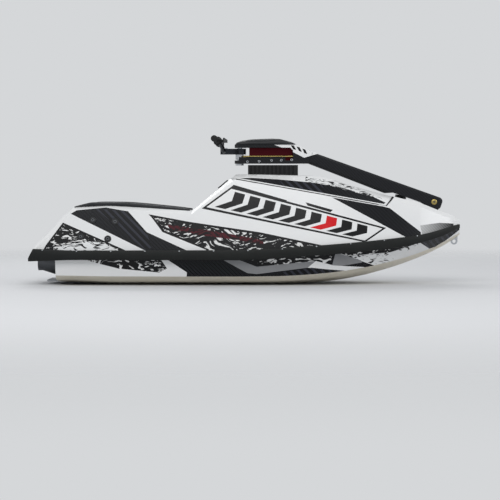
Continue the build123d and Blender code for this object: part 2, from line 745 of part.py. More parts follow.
def tray_mat():
    rear, front = STERN_X + STERN_RAKE_RUN + MAT_MARGIN, TRAY_FRONT_X - MAT_MARGIN
    corners = [(x, tray_half(x, TRAY_FLOOR_Z) - MAT_MARGIN) for x in (rear, front)]
    outline = [(rear, corners[0][1]), (front, corners[1][1]), (front, -corners[1][1]), (rear, -corners[0][1])]
    face = Face(ring([(x, y, TRAY_FLOOR_Z) for x, y in outline]))
    mat = extrude(face, amount=MAT_THICK, dir=(0, 0, 1))
    for count in range(1, int((front - rear) / MAT_GROOVE_PITCH)):
        x = rear + count * MAT_GROOVE_PITCH
        mat -= box_between(
            x, x + MAT_GROOVE, -HALF_BEAM, HALF_BEAM, TRAY_TOP_Z - MAT_GROOVE_DEPTH, TRAY_TOP_Z + MAT_THICK
        )
    for side in (1, -1):
        mat -= foot_hold_tab(side)
    return mat


def gunwale_pad():
    """The port pad, on the flat of the gunwale."""
    rear, front = GUNWALE_REAR_X + PAD_INSET, CONSOLE_FOOT_X - PAD_INSET
    line = [(x, deck_top_z(x)) for x in (rear, GUNWALE_PEAK_X, front)]
    crest = [
        (front, deck_top_z(front) + PAD_HEIGHT / 2),
        (GUNWALE_PEAK_X + PAD_END_RUN, deck_top_z(GUNWALE_PEAK_X + PAD_END_RUN) + PAD_HEIGHT),
        (rear + PAD_END_RUN, deck_top_z(rear + PAD_END_RUN) + PAD_HEIGHT),
        (rear, deck_top_z(rear) + PAD_INSET / 2),
    ]
    inner = tray_half(front, deck_top_z(front)) + PAD_INSET
    return slab_xz(line + crest, inner, inner + PAD_WIDTH)


def foot_hold_tab(side):
    """The foot hold's flange on the tray floor, which the mat is cut round."""
    x = FOOT_HOLD_REAR_X
    inner = tray_half(x, TRAY_FLOOR_Z) - FOOT_HOLD_RADIUS
    ends = sorted((side * (inner - FOOT_HOLD_TAB), side * (inner + FOOT_HOLD_WALL + 1)))
    return box_between(x, x + FOOT_HOLD_LENGTH, *ends, TRAY_FLOOR_Z, TRAY_TOP_Z)


def foot_hold():
    """The port foot hold: a quarter arch from the tray's wall to its floor."""
    x = FOOT_HOLD_REAR_X
    middle_y = tray_half(x, TRAY_FLOOR_Z)
    arch = rod_x(x, x + FOOT_HOLD_LENGTH, FOOT_HOLD_RADIUS, middle_y, TRAY_FLOOR_Z)
    arch -= rod_x(x - 1, x + FOOT_HOLD_LENGTH + 1, FOOT_HOLD_RADIUS - FOOT_HOLD_WALL, middle_y, TRAY_FLOOR_Z)
    arch &= box_between(x, x + FOOT_HOLD_LENGTH, -HALF_BEAM, HALF_BEAM, TRAY_FLOOR_Z, TRAY_RIM_Z)
    arch += foot_hold_tab(1)
    wall_top = TRAY_FLOOR_Z + FOOT_HOLD_RADIUS
    arch += box_between(
        x, x + FOOT_HOLD_LENGTH, middle_y - FOOT_HOLD_WALL, middle_y + TRAY_WALL_LEAN + FOOT_HOLD_WALL,
        wall_top - FOOT_HOLD_WALL, wall_top + FOOT_HOLD_TAB,
    )
    return arch & tray_space()


# Jet pump, from the front to the back

def pump_housing():
    front, rear = PUMP_FRONT_X, PUMP_FRONT_X - PUMP_LENGTH
    outside = PUMP_BORE_R + PUMP_WALL
    shell = turned([
        (front, PUMP_BORE_R), (front, PUMP_FLANGE_R), (front - PUMP_FLANGE_THICK, PUMP_FLANGE_R),
        (front - PUMP_FLANGE_THICK, outside), (rear, outside), (rear, PUMP_BORE_R),
    ])
    vane_front = rear + STATOR_LENGTH
    shell += turned([
        (vane_front, SHAFT_R + RUNNING_GAP), (vane_front, STATOR_HUB_R), (rear, STATOR_HUB_R),
        (rear, SHAFT_R + RUNNING_GAP),
    ])
    for count in range(STATOR_VANES):
        vane = box_between(
            rear, vane_front, -STATOR_VANE_THICK / 2, STATOR_VANE_THICK / 2,
            STATOR_HUB_R - 2, PUMP_BORE_R + PUMP_WALL / 2,
        )
        shell += Pos(0, 0, PUMP_AXIS_Z) * Rot(360 / STATOR_VANES * count, 0, 0) * vane
    return shell


def impeller():
    front = PUMP_FRONT_X - IMPELLER_SETBACK
    rear = front - IMPELLER_LENGTH
    shape = turned([
        (front, SHAFT_R + RUNNING_GAP), (front, IMPELLER_HUB_R - 4), (rear, IMPELLER_HUB_R),
        (rear, SHAFT_R + RUNNING_GAP),
    ])
    tip = PUMP_BORE_R - IMPELLER_TIP_GAP
    root = IMPELLER_HUB_R - 5
    half = IMPELLER_BLADE_THICK / 2
    for blade in range(IMPELLER_BLADES):
        rings = []
        for step in range(IMPELLER_STEPS + 1):
            share = IMPELLER_EDGE_SHARE + (1 - 2 * IMPELLER_EDGE_SHARE) * step / IMPELLER_STEPS
            turn = math.radians(360 / IMPELLER_BLADES * blade + IMPELLER_TWIST * share)
            along, across = (math.cos(turn), math.sin(turn)), (-math.sin(turn), math.cos(turn))
            rings.append([
                (
                    front - IMPELLER_LENGTH * share,
                    r * along[0] + t * across[0],
                    PUMP_AXIS_Z + r * along[1] + t * across[1],
                )
                for r, t in ((root, -half), (tip, -half), (tip, half), (root, half))
            ])
        shape += facetted(rings)
    return shape


def facetted(rings):
    """A closed form between rings of four corners, with flat triangles along its sides."""
    outlines = [rings[0], rings[-1]]
    for low, high in zip(rings, rings[1:]):
        for corner in range(len(low)):
            following = (corner + 1) % len(low)
            outlines.append([low[corner], low[following], high[following]])
            outlines.append([low[corner], high[following], high[corner]])
    return Solid(Shell([Face(ring(outline)) for outline in outlines]))


def impeller_shaft():
    rear = PUMP_FRONT_X - PUMP_LENGTH
    return rod_x(rear, SHAFT_FRONT_X - 2, SHAFT_R, z=PUMP_AXIS_Z)


def pump_cone():
    front = PUMP_FRONT_X - PUMP_LENGTH
    rear = front - CONE_LENGTH
    neck = front - CONE_TAPER_LENGTH
    shape = turned([
        (front, PUMP_BORE_R), (front, PUMP_BORE_R + PUMP_WALL), (neck, CONE_END_R + CONE_WALL),
        (rear, CONE_END_R + CONE_WALL), (rear, CONE_END_R), (neck, CONE_END_R),
    ])
    for side in (1, -1):
        bore_side = CONE_END_R + CONE_WALL / 2
        boss_end = NOZZLE_FRONT_R - 4
        pin_end = NOZZLE_FRONT_R + NOZZLE_WALL + 3
        lug = sorted((PUMP_AXIS_Z + side * bore_side, PUMP_AXIS_Z + side * boss_end))
        pin = sorted((PUMP_AXIS_Z + side * (boss_end - 1), PUMP_AXIS_Z + side * pin_end))
        shape += box_between(
            NOZZLE_PIVOT_X - NOZZLE_LUG_HALF, NOZZLE_PIVOT_X + NOZZLE_LUG_HALF,
            -NOZZLE_LUG_HALF, NOZZLE_LUG_HALF, *lug
        )
        shape += rod_z(*pin, NOZZLE_PIN_R, NOZZLE_PIVOT_X)
    return shape


def steering_nozzle():
    front = NOZZLE_PIVOT_X + NOZZLE_LEAD
    rear = front - NOZZLE_LENGTH
    straight = front - 2 * NOZZLE_LEAD
    outlet = rear + NOZZLE_WALL * 4
    shape = turned([
        (front, NOZZLE_FRONT_R), (front, NOZZLE_FRONT_R + NOZZLE_WALL),
        (straight, NOZZLE_FRONT_R + NOZZLE_WALL),
        (outlet, NOZZLE_END_R + NOZZLE_WALL), (rear, NOZZLE_END_R + NOZZLE_WALL), (rear, NOZZLE_END_R),
        (outlet, NOZZLE_END_R), (straight, NOZZLE_FRONT_R),
    ])
    outside = NOZZLE_FRONT_R + NOZZLE_WALL
    arm = box_between(
        NOZZLE_PIVOT_X - NOZZLE_LEAD * 2, NOZZLE_PIVOT_X - NOZZLE_LEAD * 0.5,
        outside - NOZZLE_WALL, outside + NOZZLE_ARM_REACH / 2,
        PUMP_AXIS_Z - NOZZLE_WALL, PUMP_AXIS_Z + NOZZLE_WALL,
    )
    shape += arm
    for side in (1, -1):
        ear = sorted((
            PUMP_AXIS_Z + side * (NOZZLE_FRONT_R - NOZZLE_EAR_SINK),
            PUMP_AXIS_Z + side * (outside + NOZZLE_EAR_SINK)
        ))
        shape += box_between(straight, front, -NOZZLE_EAR_HALF, NOZZLE_EAR_HALF, *ear)
    shape -= rod_z(0, 2 * PUMP_AXIS_Z, NOZZLE_PIN_R + RUNNING_GAP, NOZZLE_PIVOT_X)
    return shape


def intake_grate():
    frame = box_between(GRATE_REAR_X, GRATE_FRONT_X, -GRATE_HALF, GRATE_HALF, 0, GRATE_THICK)
    frame -= box_between(INTAKE_REAR_X, INTAKE_FRONT_X, -INTAKE_HALF, INTAKE_HALF, -FAR, FAR)
    pitch = 2 * INTAKE_HALF / (GRATE_BARS + 1)
    for count in range(GRATE_BARS):
        middle = -INTAKE_HALF + pitch * (count + 1)
        frame += box_between(
            GRATE_REAR_X, GRATE_FRONT_X,
            middle - GRATE_BAR_WIDTH / 2, middle + GRATE_BAR_WIDTH / 2, 0, GRATE_THICK
        )
    return frame


def ride_plate():
    plate = centred_slab(plate_outline(PLATE_REAR_X, PLATE_FRONT_X), PLATE_HALF)
    pitch = 2 * PLATE_HALF / (PLATE_GROOVES + 1)
    for count in range(PLATE_GROOVES):
        middle = -PLATE_HALF + pitch * (count + 1)
        groove = plate_outline(PLATE_REAR_X - 10, PLATE_FRONT_X - 2 * PLATE_GROOVE_WIDTH)
        cut = slab_xz(groove, middle - PLATE_GROOVE_WIDTH / 2, middle + PLATE_GROOVE_WIDTH / 2)
        plate -= Pos(0, 0, PLATE_GROOVE_DEPTH - PLATE_THICK) * cut
    return plate


def engine_block():
    rear = BAY_REAR_X + ENGINE_SETBACK
    return box_between(
        rear, rear + ENGINE_LENGTH, -ENGINE_HALF, ENGINE_HALF, BAY_FLOOR_Z, BAY_FLOOR_Z + ENGINE_HEIGHT
    )


# Handle pole

def on_pole(u, v):
    """A point of the pole's own line as (x, z)."""
    return (
        PIVOT_X - u * math.cos(POLE_RISE) + v * math.sin(POLE_RISE),
        PIVOT_Z + u * math.sin(POLE_RISE) + v * math.cos(POLE_RISE),
    )


def pole_beam():
    outline = [
        (-POLE_NOSE_REACH, POLE_NOSE_TOP), (POLE_LENGTH, POLE_TOP),
        (POLE_LENGTH, -POLE_REAR_BOTTOM), (POLE_SLIM_LENGTH + POLE_STEP, -POLE_DEEP_BOTTOM),
        (POLE_SLIM_LENGTH, -POLE_SLIM_BOTTOM), (2.4 * POLE_NOSE_RUN, -POLE_SLIM_BOTTOM),
        (POLE_NOSE_RUN, -POLE_NOSE_BOTTOM), (-POLE_NOSE_REACH, -POLE_NOSE_BOTTOM),
    ]
    beam = centred_slab([on_pole(u, v) for u, v in outline], POLE_HALF)
    lower = [e for e in pole_edges(beam) if pole_line(e.center())[1] < -POLE_REAR_BOTTOM]
    beam = chamfer(lower, POLE_BEVEL, POLE_BEVEL * 0.8)
    upper = [e for e in pole_edges(beam) if pole_line(e.center())[1] > POLE_NOSE_TOP]
    beam = fillet(upper, POLE_TOP_ROUND)
    across = beam.edges().filter_by(Axis.Y)
    beam = fillet([e for e in across if pole_line(e.center())[0] < -POLE_NOSE_R], POLE_NOSE_R)
    reach = FORK_LENGTH
    fork = [(-reach, reach), (reach, reach), (reach, -reach), (-reach, -reach)]
    beam -= centred_slab([on_pole(u, v) for u, v in fork], POLE_HALF - FORK_ARM)
    beam -= rod_y(-POLE_HALF - 1, POLE_HALF + 1, PIVOT_PIN_R, PIVOT_X, PIVOT_Z)
    return beam


def pole_edges(beam):
    """The long edges of the pole's two sides, behind its slim front."""
    return [
        e for e in beam.edges()
        if abs(abs(e.center().Y) - POLE_HALF) < 1 and e.length > 2 * POLE_STEP
        and pole_line(e.center())[0] > POLE_SLIM_LENGTH + POLE_STEP
    ]


def pole_line(point):
    """A point's place in the pole's own line, as (u, v)."""
    x, z = point.X - PIVOT_X, point.Z - PIVOT_Z
    u = -x * math.cos(POLE_RISE) + z * math.sin(POLE_RISE)
    v = x * math.sin(POLE_RISE) + z * math.cos(POLE_RISE)
    return u, v


def pivot_bolt():
    reach = POLE_HALF + PIVOT_HEAD_THICK
    bolt = rod_y(-reach, reach, PIVOT_PIN_R, PIVOT_X, PIVOT_Z)
    for side in (1, -1):
        ends = sorted((side * POLE_HALF, side * reach))
        bolt += rod_y(*ends, PIVOT_HEAD_R, PIVOT_X, PIVOT_Z)
    return bolt


def pole_bracket():
    rear, front = WELL_REAR_X + BRACKET_MARGIN, WELL_FRONT_X - BRACKET_MARGIN
    plate_top = [(x, well_floor_z(x) + BRACKET_THICK) for x in (front, rear)]
    plate = centred_slab([(rear, well_floor_z(rear)), (front, well_floor_z(front)), *plate_top], BRACKET_HALF)
    lug_half = POLE_HALF - FORK_ARM - FORK_SIDE_GAP
    foot = BRACKET_LUG_R * 1.2
    lug = rod_y(-lug_half, lug_half, BRACKET_LUG_R, PIVOT_X, PIVOT_Z)
    lug += centred_slab(
        [
            (PIVOT_X - BRACKET_LUG_R, PIVOT_Z), (PIVOT_X + BRACKET_LUG_R, PIVOT_Z),
            (PIVOT_X + foot, well_floor_z(PIVOT_X + foot)), (PIVOT_X - foot, well_floor_z(PIVOT_X - foot)),
        ],
        lug_half,
    )
    lug -= rod_y(-FAR, FAR, PIVOT_PIN_R + RUNNING_GAP, PIVOT_X, PIVOT_Z)
    return plate + lug


def pole_head():
    top_front, bottom_front = on_pole(POLE_LENGTH, POLE_TOP), on_pole(POLE_LENGTH, -POLE_REAR_BOTTOM)
    floor = HEAD_BOTTOM_Z + HEAD_PLATE_THICK
    ceiling = HEAD_TOP_Z - HEAD_PLATE_THICK
    outline = [
        bottom_front, top_front, (HEAD_TOP_FRONT_X, HEAD_TOP_Z),
        (HEAD_REAR_X, HEAD_TOP_Z), (HEAD_REAR_X, ceiling),
        (HEAD_THROAT_X - HEAD_THROAT_STEP, ceiling), (HEAD_THROAT_X, ceiling - HEAD_THROAT_STEP),
        (HEAD_THROAT_X, floor + HEAD_THROAT_STEP), (HEAD_THROAT_X - HEAD_THROAT_STEP, floor),
        (HEAD_REAR_X, floor),
        (HEAD_REAR_X, HEAD_BOTTOM_Z),
    ]
    head = centred_slab(outline, HEAD_HALF)
    for side in (1, -1):
        ends = sorted((side * (HEAD_HALF - RAIL_THICK), side * HEAD_HALF))
        head += box_between(HEAD_REAR_X + HEAD_CORNER, RAIL_FRONT_X, *ends, floor - 1, floor + RAIL_HEIGHT)
        head -= rear_corner(side, HEAD_HALF)
    head -= rod_z(0, FAR, STEM_R + RUNNING_GAP, STEM_X)
    return head


def head_spine():
    """The plate that ties the head's upper plate to the lower one, ahead of the swing of the steering arm."""
    floor = HEAD_BOTTOM_Z + HEAD_PLATE_THICK
    ceiling = HEAD_TOP_Z - HEAD_PLATE_THICK
    rear = STEM_X + math.hypot(ARM_REACH_X, ARM_REACH_Y) + ARM_R + SPINE_REAR_GAP
    outline = [
        (rear, floor), (HEAD_THROAT_X - HEAD_THROAT_STEP, floor), (HEAD_THROAT_X, floor + HEAD_THROAT_STEP),
        (HEAD_THROAT_X, ceiling - HEAD_THROAT_STEP), (HEAD_THROAT_X - HEAD_THROAT_STEP, ceiling),
        (rear, ceiling),
    ]
    return centred_slab(outline, SPINE_HALF)


def rear_corner(side, half):
    """The corner that is bevelled off the head or the chin pad, so that the turned bar clears it."""
    behind, outside = HEAD_REAR_X - FAR / 10, side * FAR / 10
    points = [
        (behind, side * (half - HEAD_CORNER)), (HEAD_REAR_X, side * (half - HEAD_CORNER)),
        (HEAD_REAR_X + HEAD_CORNER, side * half), (HEAD_REAR_X + HEAD_CORNER, outside), (behind, outside),
    ]
    return extrude(Face(ring([(x, y, 0) for x, y in points])), amount=FAR, dir=(0, 0, 1))


def chin_pad():
    base = HEAD_TOP_Z
    outline = [
        (CHIN_FRONT_X - CHIN_OVERHANG * 2, base), (HEAD_TOP_FRONT_X - CHIN_OVERHANG, base + CHIN_OVERHANG),
        (CHIN_CREST_X, base + CHIN_CREST), (CHIN_REAR_CREST_X, base + CHIN_REAR_CREST),
        (HEAD_REAR_X + CHIN_ROUND, base + CHIN_REAR_CREST / 2), (HEAD_REAR_X, base),
    ]
    pad = centred_slab(outline, CHIN_HALF)
    for side in (1, -1):
        pad -= rear_corner(side, CHIN_HALF)
    crown = [e for e in pad.edges() if e.center().Z > base + CHIN_OVERHANG and abs(e.center().Y) > HEAD_HALF]
    return chamfer(crown, CHIN_ROUND)


# Steering, on the pole's head

def arm_z():
    return HEAD_BOTTOM_Z + HEAD_PLATE_THICK + ARM_LIFT


def rod_z_level():
    return arm_z() + ARM_THICK + ROD_EYE_GAP + ROD_EYE_THICK / 2


def steering_stem():
    ceiling = HEAD_TOP_Z - HEAD_PLATE_THICK
    stem = rod_z(HEAD_BOTTOM_Z - STEM_DROP, HEAD_TOP_Z - 1, STEM_R, STEM_X)
    stem += rod_z(arm_z() + ARM_THICK, BAR_Z - CLAMP_HEIGHT / 2, STEM_COLLAR_R, STEM_X)
    stem += rod_z(BAR_Z - CLAMP_HEIGHT / 2, ceiling - ARM_LIFT, STEM_R + 4, STEM_X)
    return stem + rod_z(HEAD_BOTTOM_Z - STEM_DROP, HEAD_BOTTOM_Z - 1, STEM_COLLAR_R, STEM_X)


def steering_arm():
    """The arm under the cable rod, on the starboard side of the stem."""
    low, high = arm_z(), arm_z() + ARM_THICK
    tip_x = STEM_X + ARM_REACH_X
    arm = rod_z(low, high, STEM_COLLAR_R, STEM_X) + rod_z(low, high, ARM_R, tip_x, -ARM_REACH_Y)
    length = math.hypot(ARM_REACH_X, ARM_REACH_Y)
    turn = math.degrees(math.atan2(-ARM_REACH_Y, ARM_REACH_X))
    bar = box_between(0, length, -ARM_R, ARM_R, low, high)
    arm += Pos(STEM_X, 0, 0) * Rot(0, 0, turn) * bar
    return arm - rod_z(0, FAR, STEM_R + RUNNING_GAP, STEM_X)


def cable_rod():
    """The steering cable's rod and eye, beside the stem, running forward into the pole."""
    z = rod_z_level()
    eye_x = STEM_X + ARM_REACH_X
    rod = rod_x(eye_x, HEAD_THROAT_X, ROD_R, -ARM_REACH_Y, z)
    rod += rod_z(z - ROD_EYE_THICK / 2, z + ROD_EYE_THICK / 2, ROD_EYE_R, eye_x, -ARM_REACH_Y)
    return rod + rod_x(HEAD_THROAT_X - ROD_GLAND_LENGTH, HEAD_THROAT_X, ROD_GLAND_R, -ARM_REACH_Y, z)


def bar_path():
    middle_x = STEM_X - BAR_SETBACK
    port = [
        (middle_x, BAR_STRAIGHT_HALF, BAR_Z), (middle_x - BAR_RISE_BACK, BAR_RISE_Y, BAR_RISE_Z),
        (middle_x - BAR_END_BACK, BAR_END_Y, BAR_END_Z),
    ]
    starboard = [(x, -y, z) for x, y, z in reversed(port)]
    return starboard + port


def handlebar():
    path = FilletPolyline(*bar_path(), radius=BAR_BEND_R)
    first, second = (Vector(*point) for point in bar_path()[:2])
    return sweep(Plane(origin=first, z_dir=second - first) * Circle(BAR_R), path=path)


def bar_frame(side):
    """A plane on the outer stretch of the bar, with z out along it. side is 1 for port, -1 for starboard."""
    inner, outer = bar_path()[-2], bar_path()[-1]
    inner, outer = ((x, side * y, z) for x, y, z in (inner, outer))
    along = Vector(*outer) - Vector(*inner)
    return Plane(origin=outer, x_dir=(1, 0, 0), z_dir=along)


def sleeve(low, high, radius, hole):
    body = Pos(0, 0, (low + high) / 2) * Cylinder(radius, high - low)
    return body - Pos(0, 0, (low + high) / 2) * Cylinder(hole, high - low + 2)


def grip(side):
    hole = BAR_R + BAR_FIT
    body = sleeve(-GRIP_LENGTH, 0, GRIP_R, hole)
    body += sleeve(-GRIP_LENGTH, -GRIP_LENGTH + GRIP_FLANGE_THICK, GRIP_FLANGE_R, hole)
    body += Pos(0, 0, GRIP_END / 2) * Cylinder(GRIP_R, GRIP_END)
    return bar_frame(side) * body


def throttle_lever():
    """Perch and finger lever inboard of the starboard grip."""
    inner = -GRIP_LENGTH - GRIP_END - PERCH_WIDTH
    perch = sleeve(inner, inner + PERCH_WIDTH, BAR_R + PERCH_WALL, BAR_R + BAR_FIT)
    stalk = box_between(
        BAR_R + PERCH_WALL / 2, LEVER_REACH, -LEVER_WIDTH / 2, LEVER_WIDTH / 2, inner, inner + PERCH_WIDTH
    )
    blade = box_between(
        LEVER_REACH - LEVER_THICK, LEVER_REACH, -LEVER_WIDTH / 2, LEVER_WIDTH / 2, inner, inner + LEVER_LENGTH
    )
    tip = Pos(LEVER_REACH - LEVER_THICK / 2, 0, inner + LEVER_LENGTH) * Rot(0, 90, 0) * Cylinder(
        LEVER_WIDTH / 2, LEVER_THICK
    )
    return bar_frame(-1) * (perch + stalk + blade + tip)


def switch_box():
    """Start and stop buttons inboard of the port grip."""
    low = -GRIP_LENGTH - GRIP_END - SWITCH_LENGTH
    body = Pos(0, 0, low + SWITCH_LENGTH / 2) * Box(SWITCH_DEPTH, SWITCH_HEIGHT, SWITCH_LENGTH)
    body = fillet(body.edges().filter_by(Axis.Z), SWITCH_HEIGHT / 5)
    for share in (0.28, 0.72):
        button = Pos(-SWITCH_DEPTH / 2, 0, low + SWITCH_LENGTH * share) * Rot(0, 90, 0) * Cylinder(
            SWITCH_BUTTON_R, 2 * SWITCH_BUTTON_PROUD
        )
        body += button
    body -= Pos(0, 0, low + SWITCH_LENGTH / 2) * Cylinder(BAR_R + BAR_FIT, SWITCH_LENGTH + 2)
    return bar_frame(1) * body


def bar_clamp():
    """The block from the stem back to the bar, with the cap that holds it."""
    bar_x = STEM_X - BAR_SETBACK
    low, high = BAR_Z - CLAMP_HEIGHT / 2, BAR_Z + CLAMP_HEIGHT / 2
    block = box_between(bar_x - CLAMP_DEPTH / 2, STEM_X, -CLAMP_HALF, CLAMP_HALF, low, high)
    block += rod_z(low, high, CLAMP_HALF, STEM_X)
    waist = CLAMP_HALF * 1.6
    for side in (1, -1):
        block -= rod_z(low - 1, high + 1, waist, (STEM_X + bar_x) / 2, side * (CLAMP_HALF + waist * 0.75))
    block -= rod_z(low - 1, high + 1, STEM_R + 4 + RUNNING_GAP, STEM_X)
    return block - rod_y(-FAR, FAR, BAR_R + BAR_FIT, bar_x, BAR_Z)


# Fittings on the hood and hull

def pole_rest():
    top = HEAD_BOTTOM_Z - STEM_DROP / 2 - REST_CLEARANCE / 2
    between = [row[0] for row in hood_rows() if REST_REAR_X < row[0] < REST_FRONT_X]
    bottom = [(x, hood_top_z(x)) for x in (REST_REAR_X, *between, REST_FRONT_X)]
    rest = centred_slab(bottom + [(REST_FRONT_X, top), (REST_REAR_X, top)], REST_HALF)
    for count in range(int((REST_FRONT_X - REST_REAR_X) / REST_RIB_PITCH)):
        x = REST_REAR_X + REST_RIB_PITCH * (count + 0.5)
        for side in (1, -1):
            ends = sorted((side * (REST_HALF - REST_RIB_DEPTH), side * (REST_HALF + 1)))
            rest -= box_between(x, x + REST_RIB_WIDTH, *ends, 0, FAR)
    return rest


def tow_eye(hull_shape):
    eye = rod_y(-TOW_THICK / 2, TOW_THICK / 2, TOW_RING_R, TOW_X, TOW_Z)
    eye += box_between(
        TOW_X - TOW_RING_R, TOW_X + TOW_RING_R, -TOW_THICK / 2, TOW_THICK / 2, TOW_Z, TOW_Z + TOW_NECK
    )
    eye -= hull_shape
    eye -= rod_y(-TOW_THICK, TOW_THICK, TOW_HOLE_R, TOW_X, TOW_Z)
    return eye


def nose_plane(x, y):
    """A plane on the nose deck's top, between the hood and the bracket."""
    slope = math.degrees(math.atan2(
        deck_top_z(HOOD_FRONT_X) - deck_top_z(NOSE_REAR_X), NOSE_REAR_X - HOOD_FRONT_X
    ))
    return Pos(x, y, deck_top_z(x)) * Rot(0, slope, 0)


def filler_cap():
    cap = Pos(0, 0, CAP_HEIGHT / 2) * Cylinder(CAP_R, CAP_HEIGHT)
    for count in range(CAP_LOBES):
        turn = math.radians(360 / CAP_LOBES * count)
        place = Pos(CAP_R * 1.08 * math.cos(turn), CAP_R * 1.08 * math.sin(turn), CAP_HEIGHT)
        cap -= place * Cylinder(CAP_LOBE_R, CAP_HEIGHT)
    return nose_plane(CAP_X, CAP_Y) * cap


def hood_latch():
    """The latch that holds the hood down on the console's back."""
    z = SEAM_REAR[1] - LATCH_LENGTH / 2
    lean = math.degrees(math.atan2(
        deck_top_z(WIDEST_X) - deck_top_z(CONSOLE_FOOT_X), WIDEST_X - CONSOLE_FOOT_X
    ))
    plate = Pos(0, 0, LATCH_THICK / 2) * Box(LATCH_LENGTH, 2 * LATCH_HALF, LATCH_THICK)
    slot = Pos(-LATCH_LENGTH / 2 + LATCH_LOOP, 0, 0) * Box(LATCH_LOOP, LATCH_HALF, 4 * LATCH_THICK)
    return Pos(console_x(z), 0, z) * Rot(0, -lean, 0) * (plate - slot)


def drain_plugs():
    plug = rod_x(TRANSOM_X - PLUG_LENGTH, TRANSOM_X, PLUG_R, PLUG_Y, PLUG_Z)
    plug -= box_between(
        TRANSOM_X - PLUG_LENGTH - 1, TRANSOM_X - PLUG_LENGTH / 2, PLUG_Y - PLUG_R, PLUG_Y + PLUG_R,
        PLUG_Z - PLUG_SLOT / 2, PLUG_Z + PLUG_SLOT / 2,
    )
    return Compound([plug, mirrored(plug)])


def build():
    hull_shape = hull()
    rail, pad, hold = bumper_side(), gunwale_pad(), foot_hold()
    return {
        "hull": hull_shape,
        "deck": deck(),
        "hood": hood(),
        "bumper_port": rail,
        "bumper_starboard": mirrored(rail),
        "bumper_stern": bumper_stern(),
        "bumper_bow": bumper_bow(),
        "tray_mat": tray_mat(),
        "gunwale_pad_port": pad,
        "gunwale_pad_starboard": mirrored(pad),
        "foot_hold_port": hold,
        "foot_hold_starboard": mirrored(hold),
        "engine_block": engine_block(),
        "intake_grate": intake_grate(),
        "ride_plate": ride_plate(),
        "pump_housing": pump_housing(),
        "pump_cone": pump_cone(),
        "impeller": impeller(),
        "impeller_shaft": impeller_shaft(),
        "steering_nozzle": steering_nozzle(),
        "pole_bracket": pole_bracket(),
        "pole_beam": pole_beam(),
        "pivot_bolt": pivot_bolt(),
        "pole_head": pole_head(),
        "head_spine": head_spine(),
        "chin_pad": chin_pad(),
        "cable_rod": cable_rod(),
        "steering_stem": steering_stem(),
        "steering_arm": steering_arm(),
        "bar_clamp": bar_clamp(),
        "handlebar": handlebar(),
        "grip_port": grip(1),
        "grip_starboard": grip(-1),
        "throttle_lever": throttle_lever(),
        "switch_box": switch_box(),
        "pole_rest": pole_rest(),
        "tow_eye": tow_eye(hull_shape),
        "filler_cap": filler_cap(),
        "hood_latch": hood_latch(),
        "drain_plugs": drain_plugs(),
    }


if __name__ == "__main__":
    os.makedirs("parts", exist_ok=True)
    for node, shape in build().items():
        export_step(shape, f"parts/{node}.step")
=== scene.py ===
"""Looks of a stand-up personal watercraft: printed mouldings, rubber, foam and metal on the fixed frame."""

import json
import math

import bmesh
import bpy
import numpy as np
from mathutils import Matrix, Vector


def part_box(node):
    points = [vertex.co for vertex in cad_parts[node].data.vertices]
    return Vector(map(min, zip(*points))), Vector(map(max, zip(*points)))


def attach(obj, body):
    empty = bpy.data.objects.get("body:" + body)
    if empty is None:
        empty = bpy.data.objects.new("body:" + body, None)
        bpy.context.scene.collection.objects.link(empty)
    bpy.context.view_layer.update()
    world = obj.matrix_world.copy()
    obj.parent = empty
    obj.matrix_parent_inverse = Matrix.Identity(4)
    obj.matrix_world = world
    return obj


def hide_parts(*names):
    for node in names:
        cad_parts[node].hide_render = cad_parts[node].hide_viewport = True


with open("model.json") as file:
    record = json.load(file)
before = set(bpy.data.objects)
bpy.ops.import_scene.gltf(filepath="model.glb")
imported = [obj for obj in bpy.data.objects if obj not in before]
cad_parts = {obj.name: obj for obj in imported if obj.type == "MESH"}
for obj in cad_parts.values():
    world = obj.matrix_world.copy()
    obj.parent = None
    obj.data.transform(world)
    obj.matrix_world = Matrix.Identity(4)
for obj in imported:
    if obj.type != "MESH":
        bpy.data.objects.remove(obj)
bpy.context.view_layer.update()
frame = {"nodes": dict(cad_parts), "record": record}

MM = 0.001
SIDES = (-1, 1)  # starboard, port
FAR = 2000.0  # mm, outside the craft
WAVE_REPEAT = math.pi / 10  # distance at which a wave texture of scale 1 repeats

# Camera on the starboard side, looking slightly down
CAMERA_AT = (0.0142, -9.2, 0.494)
CAMERA_AIM = (0.0142, -0.2, 0.18)
LENS_MM = 125.4
SENSOR_MM = 36.0

# Rounding of the pieces' edges, mm
MOULDING_EDGE = 3.0
POLE_EDGE = 2.5
SMOOTH_ANGLE = math.radians(32)
ROUNDED_ANGLE = math.radians(28)

# Soft pads: mm, and the filling pressure of the simulation
PAD_DRAW_IN = 2.0
PAD_VOXEL = 4.0
PAD_CAP = 4.0
PAD_PRESSURE = 4.0
PAD_FRAMES = 20
CHANNEL_HALF = 5.0
CHANNEL_DEPTH = 2.4
STITCH_PITCH = 9.0
STITCH_LENGTH = 6.5
STITCH_END = 34.0
STITCH_R = 0.8
STITCH_TIP_R = 0.35

# Rivets, from the rail's upper edge, and the seal round the hood, mm
RIVET_DROP = 3.0
SEAL_R = 2.8
FRONT_SEAL_R = 4.6
FRONT_SLOT_HALF = 5.0

# Studio floor, m: its radius, where it starts and ends to fade out, and how far it is under the craft
FLOOR_RADIUS = 10.0
FLOOR_FADE = (2.2, 6.0)
FLOOR_DROP = 0.0005

# Ends of the painted shade gradient on the nose, mm
FADE_REAR_X = 890.0
FADE_FRONT_X = 1070.0

# A printed panel goes on faces that look outwards at least this much
SIDE_FACING = 0.3

# Corners this close, mm, are one, and faces this flat are joined
WELD = 0.02
FLAT_ANGLE = math.radians(0.4)

# Side view of the hull's topsides, over its upper chine, mm
TOPSIDES = [
    (-1000, 50), (-58, 46), (160, 48), (340, 57), (516, 75), (743, 117), (900, 159), (1017, 208),
    (1080, 242), (1130, 270), (1130, 340), (-1000, 200),
]


# Small helpers


